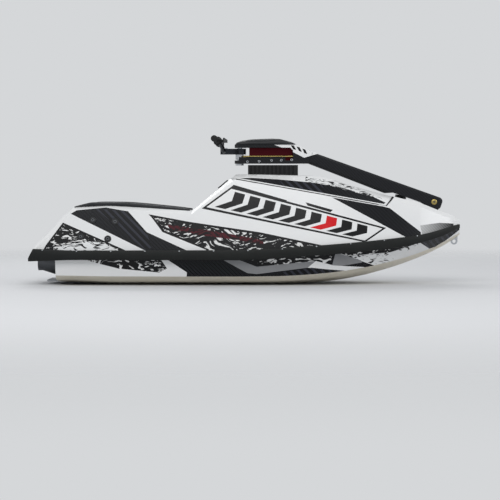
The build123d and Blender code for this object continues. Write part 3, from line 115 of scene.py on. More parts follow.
def ink(code):
    """An sRGB hex colour as linear red, green, blue and alpha."""
    parts = [int(code[i:i + 2], 16) / 255 for i in (0, 2, 4)]
    linear = [c / 12.92 if c <= 0.04045 else ((c + 0.055) / 1.055) ** 2.4 for c in parts]
    return (*linear, 1.0)


def add(tree, kind, settings, links):
    """Adds a node, with its settings by name or socket number, and feeds its sockets from others."""
    node = tree.nodes.new(kind)
    for name, value in settings.items():
        if isinstance(name, str) and hasattr(node, name):
            setattr(node, name, value)
        else:
            node.inputs[name].default_value = value
    for name, socket in links.items():
        tree.links.new(socket, node.inputs[name])
    return node


def per_mm(size):
    """Texture scale of a pattern that repeats at about this size in millimetres."""
    return 1 / (size * MM)


def new_finish(name, code, roughness, **sockets):
    """A material with one shader in the plain colour, ready for its own detail."""
    material = bpy.data.materials.new(name)
    material.use_nodes = True
    tree = material.node_tree
    shader = tree.nodes["Principled BSDF"]
    shader.inputs["Base Color"].default_value = ink(code)
    shader.inputs["Roughness"].default_value = roughness
    for socket, value in sockets.items():
        shader.inputs[socket.replace("_", " ")].default_value = value
    material.diffuse_color = ink(code)
    return material, tree, shader


# Finishes


def white_gelcoat():
    # Polished polyester gelcoat: bright and wet-looking, with the faint ripple of a buffed surface.
    material, tree, shader = new_finish("white_gelcoat_polished", "EDEEEE", 0.16, IOR=1.5)
    place = add(tree, "ShaderNodeTexCoord", {}, {}).outputs["Object"]
    cloud = add(tree, "ShaderNodeTexNoise", {"Scale": per_mm(250), "Detail": 3.0}, {"Vector": place})
    tone = add(tree, "ShaderNodeValToRGB", {}, {"Fac": cloud.outputs["Fac"]})
    tone.color_ramp.elements[0].color = ink("E6E7E8")
    tone.color_ramp.elements[1].color = ink("F1F1F0")
    tree.links.new(tone.outputs["Color"], shader.inputs["Base Color"])
    # Orange peel of about 2 mm, drawn at 25 mm so that it shows in the reflections.
    peel = add(tree, "ShaderNodeTexNoise", {"Scale": per_mm(25), "Detail": 1.0}, {"Vector": place})
    bump = add(
        tree, "ShaderNodeBump", {"Strength": 0.05, "Distance": 0.002}, {"Height": peel.outputs["Fac"]},
    )
    tree.links.new(bump.outputs["Normal"], shader.inputs["Normal"])
    return material


def bottom_gelcoat():
    # Unbuffed gelcoat of the planing surfaces: its cream is painted warm reflection on white, and it is
    # duller, with light scratches fore and aft.
    material, tree, shader = new_finish("gelcoat_scratched_painted_warm_reflection", "DDD6C6", 0.32, IOR=1.5)
    place = add(tree, "ShaderNodeTexCoord", {}, {}).outputs["Object"]
    along = add(
        tree, "ShaderNodeMapping", {"Scale": (per_mm(85), per_mm(3), per_mm(3))},
        {"Vector": place},
    )
    scratch = add(
        tree, "ShaderNodeTexNoise", {"Scale": 1.0, "Detail": 4.0}, {"Vector": along.outputs["Vector"]},
    )
    tone = add(tree, "ShaderNodeValToRGB", {}, {"Fac": scratch.outputs["Fac"]})
    tone.color_ramp.elements[0].color = ink("CFC7B4")
    tone.color_ramp.elements[1].color = ink("E4DFD2")
    tree.links.new(tone.outputs["Color"], shader.inputs["Base Color"])
    return material


def weave_tone(tree, step_mm, dark, light):
    """Two tones in a 2/2 twill of square steps, seen from the side, and the socket that tells them apart."""
    place = add(tree, "ShaderNodeTexCoord", {}, {}).outputs["Object"]
    axes = add(tree, "ShaderNodeSeparateXYZ", {}, {"Vector": place})
    step = step_mm * MM
    column = add(tree, "ShaderNodeMath", {"operation": "SNAP", 1: step}, {0: axes.outputs["X"]})
    row = add(tree, "ShaderNodeMath", {"operation": "SNAP", 1: step}, {0: axes.outputs["Z"]})
    total = add(tree, "ShaderNodeMath", {"operation": "ADD"}, {0: column.outputs[0], 1: row.outputs[0]})
    shifted = add(tree, "ShaderNodeMath", {"operation": "ADD", 1: step / 2}, {0: total.outputs[0]})
    turn = add(tree, "ShaderNodeMath", {"operation": "PINGPONG", 1: 2 * step}, {0: shifted.outputs[0]})
    over = add(tree, "ShaderNodeMath", {"operation": "GREATER_THAN", 1: step}, {0: turn.outputs[0]})
    tone = add(tree, "ShaderNodeMix", {"data_type": "RGBA"}, {"Factor": over.outputs[0]})
    tone.inputs[6].default_value = ink(dark)
    tone.inputs[7].default_value = ink(light)
    return tone.outputs[2], over.outputs[0]


def carbon_vinyl():
    # Printed vinyl with a carbon twill under a clear film: near black, with a fine diagonal in the gloss.
    # The print's 2 mm tows are drawn at 5 mm so that they show.
    material, tree, shader = new_finish(
        "carbon_print_vinyl", "15161A", 0.26, IOR=1.45, Specular_IOR_Level=0.25,
    )
    tone, over = weave_tone(tree, 5.0, "0E0F12", "17191D")
    tree.links.new(tone, shader.inputs["Base Color"])
    bump = add(tree, "ShaderNodeBump", {"Strength": 0.08, "Distance": 0.0005}, {"Height": over})
    tree.links.new(bump.outputs["Normal"], shader.inputs["Normal"])
    return material


def striped_vinyl():
    # The same vinyl where it carries slanting stripes in a lighter charcoal, 40 mm apart along the craft.
    material, tree, shader = new_finish(
        "striped_print_vinyl", "15161A", 0.26, IOR=1.45, Specular_IOR_Level=0.25,
    )
    place = add(tree, "ShaderNodeTexCoord", {}, {}).outputs["Object"]
    axes = add(tree, "ShaderNodeSeparateXYZ", {}, {"Vector": place})
    slope = add(tree, "ShaderNodeMath", {"operation": "ADD"}, {0: axes.outputs["X"], 1: axes.outputs["Z"]})
    half_pitch, half_gap = 20 * MM, 12 * MM
    turn = add(tree, "ShaderNodeMath", {"operation": "PINGPONG", 1: half_pitch}, {0: slope.outputs[0]})
    bar = add(tree, "ShaderNodeMath", {"operation": "GREATER_THAN", 1: half_gap}, {0: turn.outputs[0]})
    tone = add(tree, "ShaderNodeMix", {"data_type": "RGBA"}, {"Factor": bar.outputs[0]})
    tone.inputs[6].default_value = ink("0E0F12")
    tone.inputs[7].default_value = ink("30323A")
    tree.links.new(tone.outputs[2], shader.inputs["Base Color"])
    return material


def brush_vinyl(name, ground, stroke, cover, lean_deg=35.0, strokes_mm=(36.0, 1000.0, 11.0)):
    # Vinyl printed with loose dry-brush strokes of a given length, depth and width, leaning over and bent.
    bent_mm, soft_edge = 220, 0.025
    material, tree, shader = new_finish(name, ground, 0.24, IOR=1.45, Specular_IOR_Level=0.3)
    place = add(tree, "ShaderNodeTexCoord", {}, {}).outputs["Object"]
    bend = add(tree, "ShaderNodeTexNoise", {"Scale": per_mm(200), "Detail": 2.0}, {"Vector": place})
    push = add(
        tree, "ShaderNodeVectorMath", {"operation": "SCALE", "Scale": bent_mm * MM},
        {0: bend.outputs["Color"]},
    )
    warped = add(tree, "ShaderNodeVectorMath", {"operation": "ADD"}, {0: place, 1: push.outputs["Vector"]})
    lean = add(
        tree, "ShaderNodeMapping",
        {"Rotation": (0.0, math.radians(lean_deg), 0.0), "Scale": [per_mm(size) for size in strokes_mm]},
        {"Vector": warped.outputs["Vector"]},
    )
    streak = add(
        tree, "ShaderNodeTexNoise", {"Scale": 1.0, "Detail": 2.5, "Roughness": 0.55},
        {"Vector": lean.outputs["Vector"]},
    )
    tone = add(tree, "ShaderNodeValToRGB", {}, {"Fac": streak.outputs["Fac"]})
    tone.color_ramp.elements[0].position = cover
    tone.color_ramp.elements[0].color = ink(ground)
    tone.color_ramp.elements[1].position = cover + soft_edge
    tone.color_ramp.elements[1].color = ink(stroke)
    tree.links.new(tone.outputs["Color"], shader.inputs["Base Color"])
    return material


def nose_shade_gradient():
    # Painted reflection and shade on the nose: silver at its rear, darkening to charcoal at the bow, with
    # slanting lines
    # 16 mm apart along the craft.
    material, tree, shader = new_finish(
        "nose_painted_shade_gradient", "8B8C8E", 0.24, IOR=1.45, Specular_IOR_Level=0.25,
    )
    place = add(tree, "ShaderNodeTexCoord", {}, {}).outputs["Object"]
    axes = add(tree, "ShaderNodeSeparateXYZ", {}, {"Vector": place})
    reach = add(
        tree, "ShaderNodeMapRange", {"From Min": FADE_REAR_X * MM, "From Max": FADE_FRONT_X * MM},
        {"Value": axes.outputs["X"]},
    )
    slope = add(tree, "ShaderNodeMath", {"operation": "ADD"}, {0: axes.outputs["X"], 1: axes.outputs["Z"]})
    half_pitch, half_gap, darker = 8 * MM, 5.5 * MM, 0.16
    turn = add(tree, "ShaderNodeMath", {"operation": "PINGPONG", 1: half_pitch}, {0: slope.outputs[0]})
    line = add(tree, "ShaderNodeMath", {"operation": "GREATER_THAN", 1: half_gap}, {0: turn.outputs[0]})
    step = add(tree, "ShaderNodeMath", {"operation": "MULTIPLY", 1: darker}, {0: line.outputs[0]})
    depth = add(
        tree, "ShaderNodeMath", {"operation": "ADD"}, {0: reach.outputs["Result"], 1: step.outputs[0]},
    )
    tone = add(tree, "ShaderNodeValToRGB", {}, {"Fac": depth.outputs[0]})
    tone.color_ramp.elements[0].color = ink("C6C7C7")
    tone.color_ramp.elements[1].color = ink("1C1D20")
    tree.links.new(tone.outputs["Color"], shader.inputs["Base Color"])
    return material


def mottled_solid(name, code):
    # One colour under a gloss film, slightly mottled: sign vinyl, which in grey is also painted shade on the
    # hull's white band, and black painted shade at the bottom of a screw's socket.
    material, tree, shader = new_finish(name, code, 0.22, IOR=1.45, Specular_IOR_Level=0.3)
    place = add(tree, "ShaderNodeTexCoord", {}, {}).outputs["Object"]
    mottle = add(tree, "ShaderNodeTexNoise", {"Scale": per_mm(55), "Detail": 3.0}, {"Vector": place})
    amount = add(
        tree, "ShaderNodeMapRange", {"To Min": 0.9, "To Max": 1.1}, {"Value": mottle.outputs["Fac"]},
    )
    tone = add(
        tree, "ShaderNodeHueSaturation", {"Color": ink(code)}, {"Value": amount.outputs["Result"]},
    )
    tree.links.new(tone.outputs["Color"], shader.inputs["Base Color"])
    return material


def bumper_rubber():
    # Extruded rail rubber: charcoal, dull, with a chalky bloom, and die lines along it drawn at 4 mm.
    material, tree, shader = new_finish(
        "bumper_rubber_extruded", "191B1A", 0.55, IOR=1.52, Specular_IOR_Level=0.22,
    )
    place = add(tree, "ShaderNodeTexCoord", {}, {}).outputs["Object"]
    bloom = add(tree, "ShaderNodeTexNoise", {"Scale": per_mm(80), "Detail": 5.0}, {"Vector": place})
    tone = add(tree, "ShaderNodeValToRGB", {}, {"Fac": bloom.outputs["Fac"]})
    tone.color_ramp.elements[0].color = ink("121413")
    tone.color_ramp.elements[1].color = ink("1F2120")
    tree.links.new(tone.outputs["Color"], shader.inputs["Base Color"])
    along = add(
        tree, "ShaderNodeMapping", {"Scale": (per_mm(500), per_mm(4), per_mm(4))},
        {"Vector": place},
    )
    lines = add(
        tree, "ShaderNodeTexNoise", {"Scale": 1.0, "Detail": 2.0}, {"Vector": along.outputs["Vector"]},
    )
    bump = add(
        tree, "ShaderNodeBump", {"Strength": 0.25, "Distance": 0.001}, {"Height": lines.outputs["Fac"]},
    )
    tree.links.new(bump.outputs["Normal"], shader.inputs["Normal"])
    return material


def deck_foam():
    # Closed-cell EVA sheet, brushed: matt black with a fine pebble of 1 mm, drawn at 3 mm.
    material, tree, shader = new_finish("eva_foam_brushed", "1C1D1F", 0.85, IOR=1.48)
    place = add(tree, "ShaderNodeTexCoord", {}, {}).outputs["Object"]
    cells = add(tree, "ShaderNodeTexVoronoi", {"Scale": per_mm(3)}, {"Vector": place})
    tone = add(tree, "ShaderNodeValToRGB", {}, {"Fac": cells.outputs["Distance"]})
    tone.color_ramp.elements[0].color = ink("26282B")
    tone.color_ramp.elements[1].color = ink("141517")
    tree.links.new(tone.outputs["Color"], shader.inputs["Base Color"])
    bump = add(
        tree, "ShaderNodeBump", {"Strength": 0.5, "Distance": 0.001}, {"Height": cells.outputs["Distance"]},
    )
    tree.links.new(bump.outputs["Normal"], shader.inputs["Normal"])
    return material


def pad_cover():
    # Coated upholstery cloth over foam: black, faintly leathery grain of about 3 mm, soft highlights.
    material, tree, shader = new_finish(
        "coated_cloth_grained", "18191C", 0.48, IOR=1.5, Specular_IOR_Level=0.35,
    )
    place = add(tree, "ShaderNodeTexCoord", {}, {}).outputs["Object"]
    grain = add(tree, "ShaderNodeTexVoronoi", {"Scale": per_mm(3)}, {"Vector": place})
    bump = add(
        tree, "ShaderNodeBump", {"Strength": 0.35, "Distance": 0.001}, {"Height": grain.outputs["Distance"]},
    )
    tree.links.new(bump.outputs["Normal"], shader.inputs["Normal"])
    tone = add(tree, "ShaderNodeTexNoise", {"Scale": per_mm(110), "Detail": 4.0}, {"Vector": place})
    ramp = add(tree, "ShaderNodeValToRGB", {}, {"Fac": tone.outputs["Fac"]})
    ramp.color_ramp.elements[0].color = ink("131417")
    ramp.color_ramp.elements[1].color = ink("1E2024")
    tree.links.new(ramp.outputs["Color"], shader.inputs["Base Color"])
    return material


def sewing_thread():
    # Bonded polyester thread, charcoal grey, with its twist of about 1 mm drawn at 4 mm.
    material, tree, shader = new_finish("polyester_thread_twisted", "5A5C60", 0.7, IOR=1.5)
    place = add(tree, "ShaderNodeTexCoord", {}, {}).outputs["Object"]
    twist = add(
        tree, "ShaderNodeTexWave", {"Scale": WAVE_REPEAT * per_mm(4), "Distortion": 1.0},
        {"Vector": place},
    )
    tone = add(tree, "ShaderNodeValToRGB", {}, {"Fac": twist.outputs["Fac"]})
    tone.color_ramp.elements[0].color = ink("4A4C50")
    tone.color_ramp.elements[1].color = ink("6A6C70")
    tree.links.new(tone.outputs["Color"], shader.inputs["Base Color"])
    return material


def pole_composite():
    # Moulded carbon pole in satin resin: black, with its real twill, 4 mm tows, just showing.
    material, tree, shader = new_finish(
        "carbon_composite_satin", "101115", 0.34, IOR=1.52, Specular_IOR_Level=0.25,
    )
    tone, over = weave_tone(tree, 4.0, "0B0C0F", "16181D")
    tree.links.new(tone, shader.inputs["Base Color"])
    bump = add(tree, "ShaderNodeBump", {"Strength": 0.1, "Distance": 0.0005}, {"Height": over})
    tree.links.new(bump.outputs["Normal"], shader.inputs["Normal"])
    return material


def moulded_plastic(name, code):
    # Moulded ABS with a spark-eroded texture of about 0.5 mm, drawn at 2 mm.
    material, tree, shader = new_finish(name, code, 0.42, IOR=1.53, Specular_IOR_Level=0.35)
    place = add(tree, "ShaderNodeTexCoord", {}, {}).outputs["Object"]
    grit = add(tree, "ShaderNodeTexNoise", {"Scale": per_mm(2), "Detail": 2.0}, {"Vector": place})
    bump = add(
        tree, "ShaderNodeBump", {"Strength": 0.3, "Distance": 0.0006}, {"Height": grit.outputs["Fac"]},
    )
    tree.links.new(bump.outputs["Normal"], shader.inputs["Normal"])
    tone = add(tree, "ShaderNodeMapRange", {"To Min": 0.34, "To Max": 0.52}, {"Value": grit.outputs["Fac"]})
    tree.links.new(tone.outputs["Result"], shader.inputs["Roughness"])
    return material


def moulded_rubber():
    # Soft moulded rubber of the grips, rest, seal and latch: deep black with a dull sheen. Its skin of about
    # 1 mm is drawn at 6 mm.
    material, tree, shader = new_finish(
        "moulded_rubber_dull", "0F1011", 0.62, IOR=1.52, Specular_IOR_Level=0.3,
    )
    place = add(tree, "ShaderNodeTexCoord", {}, {}).outputs["Object"]
    skin = add(tree, "ShaderNodeTexNoise", {"Scale": per_mm(6), "Detail": 3.0}, {"Vector": place})
    bump = add(tree, "ShaderNodeBump", {"Strength": 0.3, "Distance": 0.001}, {"Height": skin.outputs["Fac"]})
    tree.links.new(bump.outputs["Normal"], shader.inputs["Normal"])
    tone = add(tree, "ShaderNodeMapRange", {"To Min": 0.52, "To Max": 0.72}, {"Value": skin.outputs["Fac"]})
    tree.links.new(tone.outputs["Result"], shader.inputs["Roughness"])
    return material


def metal(name, code, rough_low, rough_high, grain_mm, stretch):
    # Bare or anodised metal: its grain breaks up the highlight, along one way where it was ground. The real
    # grain, under 1 mm, is drawn at a few millimetres so that it shows.
    material, tree, shader = new_finish(name, code, (rough_low + rough_high) / 2, Metallic=1.0)
    place = add(tree, "ShaderNodeTexCoord", {}, {}).outputs["Object"]
    way = add(tree, "ShaderNodeMapping", {"Scale": stretch}, {"Vector": place})
    grain = add(
        tree, "ShaderNodeTexNoise", {"Scale": per_mm(grain_mm), "Detail": 3.0},
        {"Vector": way.outputs["Vector"]},
    )
    tone = add(
        tree, "ShaderNodeMapRange", {"To Min": rough_low, "To Max": rough_high},
        {"Value": grain.outputs["Fac"]},
    )
    tree.links.new(tone.outputs["Result"], shader.inputs["Roughness"])
    bump = add(
        tree, "ShaderNodeBump", {"Strength": 0.12, "Distance": 0.0005}, {"Height": grain.outputs["Fac"]},
    )
    tree.links.new(bump.outputs["Normal"], shader.inputs["Normal"])
    return material


def cast_aluminium():
    # Bead-blasted aluminium of the pump, plate, grate and rivets: pale grey, evenly grained.
    return metal("cast_aluminium_blasted", "A5A8AB", 0.34, 0.52, 3.0, (1.0, 1.0, 1.0))


def black_aluminium():
    # Black anodised bar, clamp and pole bracket: nearly black metal with a satin highlight.
    return metal("anodised_aluminium_black", "2E3034", 0.28, 0.42, 4.0, (1.0, 1.0, 1.0))


def dark_anodised_and_painted_shade():
    # Hard anodised nozzle and bolt heads: dark grey with a dull, even sheen. On the nozzle its darkness is
    # partly painted shade under the stern, and in the pivot bolt's sockets it is painted shade.
    return metal("anodised_aluminium_dark_and_painted_shade", "56585B", 0.38, 0.54, 3.0, (1.0, 1.0, 1.0))


def stainless_steel():
    # Ground stainless screws, shaft, stem and impeller: bright, with fine lines fore and aft.
    return metal("stainless_steel_ground", "B9BCC0", 0.16, 0.32, 3.0, (1.0, 4.0, 4.0))


def dulled_brass():
    # Turned brass, dulled by salt water: pale gold with an olive cast.
    return metal("turned_brass_dulled", "A8965C", 0.24, 0.4, 3.0, (1.0, 1.0, 1.0))


def red_anodised():
    # Anodised plate in the head: a deep wine red with a satin sheen.
    return metal("anodised_aluminium_wine", "4A171D", 0.3, 0.44, 4.0, (1.0, 1.0, 1.0))


def engine_paint():
    # Heat-proof grey paint on the engine's block, over a coarse cast skin of about 8 mm.
    material, tree, shader = new_finish("engine_enamel_grey", "54575A", 0.5, IOR=1.5)
    place = add(tree, "ShaderNodeTexCoord", {}, {}).outputs["Object"]
    skin = add(tree, "ShaderNodeTexNoise", {"Scale": per_mm(8), "Detail": 4.0}, {"Vector": place})
    bump = add(tree, "ShaderNodeBump", {"Strength": 0.3, "Distance": 0.001}, {"Height": skin.outputs["Fac"]})
    tree.links.new(bump.outputs["Normal"], shader.inputs["Normal"])
    return material


def studio_floor():
    # Matt pale paper, fading out into the backdrop away from the craft.
    material, tree, shader = new_finish("studio_paper_pale", "D5D6D8", 0.75)
    place = add(tree, "ShaderNodeTexCoord", {}, {}).outputs["Object"]
    reach = add(tree, "ShaderNodeVectorMath", {"operation": "LENGTH"}, {0: place})
    fade = add(
        tree, "ShaderNodeMapRange",
        {"From Min": FLOOR_FADE[0], "From Max": FLOOR_FADE[1], "interpolation_type": "SMOOTHSTEP"},
        {"Value": reach.outputs["Value"]},
    )
    clear = add(tree, "ShaderNodeBsdfTransparent", {}, {})
    blend = add(
        tree, "ShaderNodeMixShader", {},
        {0: fade.outputs["Result"], 1: shader.outputs["BSDF"], 2: clear.outputs["BSDF"]},
    )
    tree.links.new(blend.outputs["Shader"], tree.nodes["Material Output"].inputs["Surface"])
    return material


FINISHES = {
    "white": white_gelcoat(),
    "bottom": bottom_gelcoat(),
    "carbon": carbon_vinyl(),
    "striped": striped_vinyl(),
    "strokes": brush_vinyl("brush_print_vinyl_dark", "0D0E10", "E9E9E8", 0.565),
    "pale_strokes": brush_vinyl("brush_print_vinyl_pale", "ECEDED", "101114", 0.54),
    "long_strokes": brush_vinyl(
        "brush_print_vinyl_long", "ECEDED", "101114", 0.53, lean_deg=-13.0, strokes_mm=(150.0, 16.0, 9.0),
    ),
    "black": mottled_solid("sign_vinyl_black", "0D0E10"),
    # Grey sign vinyl; on the hull's white band it is painted shade
    "grey": mottled_solid("sign_vinyl_grey_and_painted_shade", "8B8C8E"),
    "fading": nose_shade_gradient(),
    "red": mottled_solid("sign_vinyl_red", "D3121B"),
    "dark_red": brush_vinyl("brush_print_vinyl_red", "12070A", "4A0D18", 0.485),
    # Black painted shade at the bottom of the screws' sockets
    "socket": mottled_solid("socket_bottom_painted_shade", "0C0C0D"),
    "rubber": bumper_rubber(),
    "foam": deck_foam(),
    "cover": pad_cover(),
    "composite": pole_composite(),
    "plastic": moulded_plastic("abs_plastic_black", "121315"),
    "stop_red": moulded_plastic("abs_plastic_red", "C4161C"),
    "start_green": moulded_plastic("abs_plastic_green", "2C8A3D"),
    "soft_rubber": moulded_rubber(),
    "casting": cast_aluminium(),
    "dark_casting_and_painted_shade": dark_anodised_and_painted_shade(),
    "thread": sewing_thread(),
    "black_metal": black_aluminium(),
    "steel": stainless_steel(),
    "brass": dulled_brass(),
    "wine_metal": red_anodised(),
    "engine": engine_paint(),
}


# Making pieces


def body_of(node):
    """The body that a node of the frame moves with."""
    for body, members in frame["record"]["behaviour"]["bodies"].items():
        if node in members:
            return body


def welded(node):
    """A node's surface with its split corners joined and its flat faces whole."""
    bm = bmesh.new()
    bm.from_mesh(frame["nodes"][node].data)
    bmesh.ops.remove_doubles(bm, verts=bm.verts, dist=WELD * MM)
    bmesh.ops.dissolve_limit(bm, angle_limit=FLAT_ANGLE, verts=bm.verts, edges=bm.edges)
    return bm


def new_piece(name, bm, finishes, body):
    """A piece of the visual model on one body, smooth except at its sharp edges."""
    mesh = bpy.data.meshes.new(name)
    bm.to_mesh(mesh)
    bm.free()
    for spare in ("custom_normal", "sharp_edge", "sharp_face"):
        if spare in mesh.attributes:
            mesh.attributes.remove(mesh.attributes[spare])
    for finish in finishes:
        mesh.materials.append(FINISHES[finish])
    mesh.shade_smooth()
    mesh.set_sharp_from_angle(angle=SMOOTH_ANGLE)
    piece = bpy.data.objects.new(name, mesh)
    bpy.context.scene.collection.objects.link(piece)
    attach(piece, body)
    return piece


def round_edges(piece, width_mm):
    """Rounds a piece's sharp edges and keeps its large faces flat."""
    bevel = piece.modifiers.new("rounded_edges", "BEVEL")
    bevel.width = width_mm * MM
    bevel.segments = 2
    bevel.limit_method = "ANGLE"
    bevel.angle_limit = ROUNDED_ANGLE
    bevel.harden_normals = True
    bevel.use_clamp_overlap = True


def dressed(node, finish, width_mm):
    """A node's own shape with rounded edges and its finish."""
    piece = new_piece(node + "_dressed", welded(node), [finish], body_of(node))
    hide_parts(node)
    round_edges(piece, width_mm)
    return piece


def inside(outline, x, z):
    """Whether a side-view point lies in an outline."""
    found = False
    for (xa, za), (xb, zb) in zip(outline, outline[1:] + outline[:1]):
        if (za > z) != (zb > z) and x < xa + (z - za) * (xb - xa) / (zb - za):
            found = not found
    return found


def print_panel(bm, outline, index, within):
    """Cuts a side-view outline, x and z in mm, into both sides of a moulding and gives it a finish.

    Only faces with their middle in the outline `within`, where there is one, take the finish.
    """
    points = [(x * MM, z * MM) for x, z in outline]
    low = [min(p[i] for p in points) for i in (0, 1)]
    high = [max(p[i] for p in points) for i in (0, 1)]

    def near(face):
        if face.normal.y * math.copysign(1, face.calc_center_median().y) < SIDE_FACING:
            return False
        xs = [v.co.x for v in face.verts]
        zs = [v.co.z for v in face.verts]
        return max(xs) > low[0] and min(xs) < high[0] and max(zs) > low[1] and min(zs) < high[1]

    for (xa, za), (xb, zb) in zip(points, points[1:] + points[:1]):
        faces = [f for f in bm.faces if near(f)]
        edges = list({e for f in faces for e in f.edges})
        verts = list({v for f in faces for v in f.verts})
        bmesh.ops.bisect_plane(
            bm, geom=faces + edges + verts, dist=WELD * MM,
            plane_co=(xa, 0, za), plane_no=(zb - za, 0, xa - xb),
        )
    for face in bm.faces:
        centre = face.calc_center_median()
        allowed = within is None or inside(within, centre.x / MM, centre.z / MM)
        if allowed and near(face) and inside(points, centre.x, centre.z):
            face.material_index = index


# Printed panels, and panels of painted shade. Columns: finish, side-view outline as x and z in mm, in the
# order that they are laid

DECK_PRINT = [
    ("black", [(-946, 323), (-624, 183), (-624, 150), (-1060, 150), (-1032, 207)]),
    ("strokes", [(-942, 312), (-660, 190), (-660, 150), (-1045, 150), (-1024, 205)]),
    ("pale_strokes", [(-990, 198), (-827, 229), (-735, 219), (-660, 185), (-660, 150), (-999, 150)]),
    ("carbon", [
        (-907, 368), (-877, 386), (-726, 400), (-612, 381), (-515, 275), (-309, 182), (-309, 150),
        (-524, 150), (-524, 182),
    ]),
    ("striped", [(-782, 395), (-623, 383), (-515, 275), (-488, 196), (-520, 184)]),
    ("black", [
        (-507, 366), (-296, 327), (66, 274), (386, 207), (366, 150), (-210, 150), (-210, 185), (-434, 275),
        (-487, 345),
    ]),
    ("strokes", [
        (-488, 353), (-296, 316), (64, 263), (340, 206), (330, 150), (-190, 150), (-196, 188), (-424, 283),
        (-474, 342),
    ]),
    ("dark_red", [(-416, 315), (-158, 279), (76, 235), (87, 212), (-37, 233), (-218, 256), (-389, 289)]),
    ("carbon", [(436, 452), (703, 405), (738, 396), (901, 271), (901, 235), (841, 235)]),
    # Painted reflection and shade on the nose, lighter at its rear, darker at the bow
    ("fading", [(897, 306), (960, 314), (1005, 319), (1082, 314), (1082, 290), (985, 268), (910, 250)]),
    ("black", [(-70, 517), (205, 437), (190, 425), (-86, 502)]),
    ("black", [(300, 427), (440, 388), (428, 376), (310, 410)]),
]

HOOD_PRINT = [
    ("long_strokes", [(300, 560), (520, 522), (740, 430), (700, 425), (520, 485), (300, 520)]),
    ("carbon", [
        (-40, 551), (20, 553), (160, 545), (340, 528), (430, 513), (516, 489), (651, 456), (718, 424),
        (706, 418),
    ]),
    ("striped", [(160, 545), (340, 528), (385, 518), (405, 472), (188, 511)]),
]

HULL_PRINT = [
    ("strokes", [(-900, 150), (-451, 150), (-409, 88), (-451, 68), (-658, 88)]),
    ("carbon", [
        (-416, 170), (-416, 140), (-309, 69), (-313, 0), (221, 0), (567, 45), (691, 88), (428, 180),
    ]),
    ("strokes", [(-30, 160), (440, 180), (425, 106), (352, 127), (60, 100)]),
    ("grey", [(456, 180), (560, 180), (592, 116), (470, 98), (436, 104)]),
    # The next two grey panels are painted shade: the white band where it lies in shade, aft of its white
    # part
    ("grey", [(-172, 160), (-110, 160), (49, 98), (49, 60), (1, 65)]),
    ("grey", [(49, 98), (352, 127), (310, 92), (49, 60)]),
    ("white", [(352, 127), (443, 103), (695, 86), (566, 69), (310, 92)]),
    ("striped", [(180, 70), (330, 92), (560, 66), (520, 30), (180, 30)]),
    ("pale_strokes", [(428, 180), (691, 93), (738, 119), (900, 215), (541, 200)]),
    ("strokes", [(428, 180), (520, 152), (740, 168), (866, 206), (880, 215), (541, 200)]),
    ("striped", [(901, 215), (975, 171), (1118, 280), (1118, 330), (918, 260)]),
]


def moulding(node, panels):
    """A moulding in white gelcoat with its printed panels and painted shade panels, and under the hull's
    chines a bottom whose cream is painted warm reflection.
    """
    names = list(dict.fromkeys(["white", "bottom"] + [finish for finish, _ in panels]))
    bm = welded(node)
    for face in bm.faces:
        centre = face.calc_center_median() / MM
        # The faces under the hull's chines take the cream that is painted warm reflection.
        if node == "hull" and face.normal.z < -0.1 and not inside(TOPSIDES, centre.x, centre.z):
            face.material_index = names.index("bottom")
    within = TOPSIDES if node == "hull" else None
    for finish, outline in panels:
        print_panel(bm, outline, names.index(finish), within)
    piece = new_piece(node + "_moulding", bm, names, "craft")
    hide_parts(node)
    round_edges(piece, MOULDING_EDGE)
    return piece


def chevron_band():
    """A frame round a row of chevrons on each side of the console."""
    corners = [Vector(p) for p in ((-79, 509), (717, 295), (606, 222), (-234, 395))]

    def spot(u, v):
        top = corners[0].lerp(corners[1], u)
        low = corners[3].lerp(corners[2], u)
        point = low.lerp(top, v)
        return (point.x, point.y)

    def strip(u0, u1, v0, v1, skew):
        return [spot(u0, v0), spot(u1, v0), spot(u1 + skew, v1), spot(u0 + skew, v1)]

    panels = [("black", strip(0.0, 1.0, 0.0, 1.0, 0.0)), ("white", strip(0.014, 0.986, 0.085, 0.915, 0.0))]
    count, red_one, first, pitch = 9, 6, 0.05, 0.098
    width, reach, low, middle, high = 0.066, 0.045, 0.155, 0.5, 0.845
    for number in range(count):
        start = first + number * pitch
        finish = "red" if number == red_one else "black"
        panels.append((finish, strip(start, start + width, low, middle, reach)))
        panels.append((finish, strip(start + reach, start + reach + width, middle, high, -reach)))
    return panels


# Small fittings


def turned(profile, at, axis, segments):
    """A turned shape: pairs of distance along its axis and radius, mm, from a point in metres."""
    bm = bmesh.new()
    way = Vector(axis).normalized()
    side = way.orthogonal().normalized()
    across = way.cross(side)
    rings = []
    for along, radius in profile:
        centre = Vector(at) + way * along * MM
        ring = []
        for number in range(segments):
            angle = 2 * math.pi * number / segments
            offset = side * math.cos(angle) + across * math.sin(angle)
            ring.append(bm.verts.new(centre + offset * max(radius, 0.01) * MM))
        rings.append(ring)
    for low, high in zip(rings, rings[1:]):
        for number in range(segments):
            following = (number + 1) % segments
            bm.faces.new((low[number], low[following], high[following], high[number]))
    bm.faces.new(list(reversed(rings[0])))
    bm.faces.new(rings[-1])
    bmesh.ops.recalc_face_normals(bm, faces=bm.faces)
    return bm


def join(parts):
    """One mesh from several turned shapes, each with its number in the list of finishes."""
    whole = bmesh.new()
    for number, bm in parts:
        for face in bm.faces:
            face.material_index = number
        scratch = bpy.data.meshes.new("scratch")
        bm.to_mesh(scratch)
        bm.free()
        whole.from_mesh(scratch)
        bpy.data.meshes.remove(scratch)
    return whole


def on_face(piece, start, way):
    """The point and the outward normal where a line from a point in mm meets a piece."""
    hit, point, normal, _ = piece.ray_cast(Vector(start) * MM, Vector(way))
    if not hit:
        raise ValueError(f"nothing of {piece.name} on the line from {start}")
    return point, normal


def on_side(piece, x, z, side):
    return on_face(piece, (x, side * FAR, z), (0, -side, 0))


def on_top(piece, x, y):
    return on_face(piece, (x, y, FAR), (0, 0, -1))


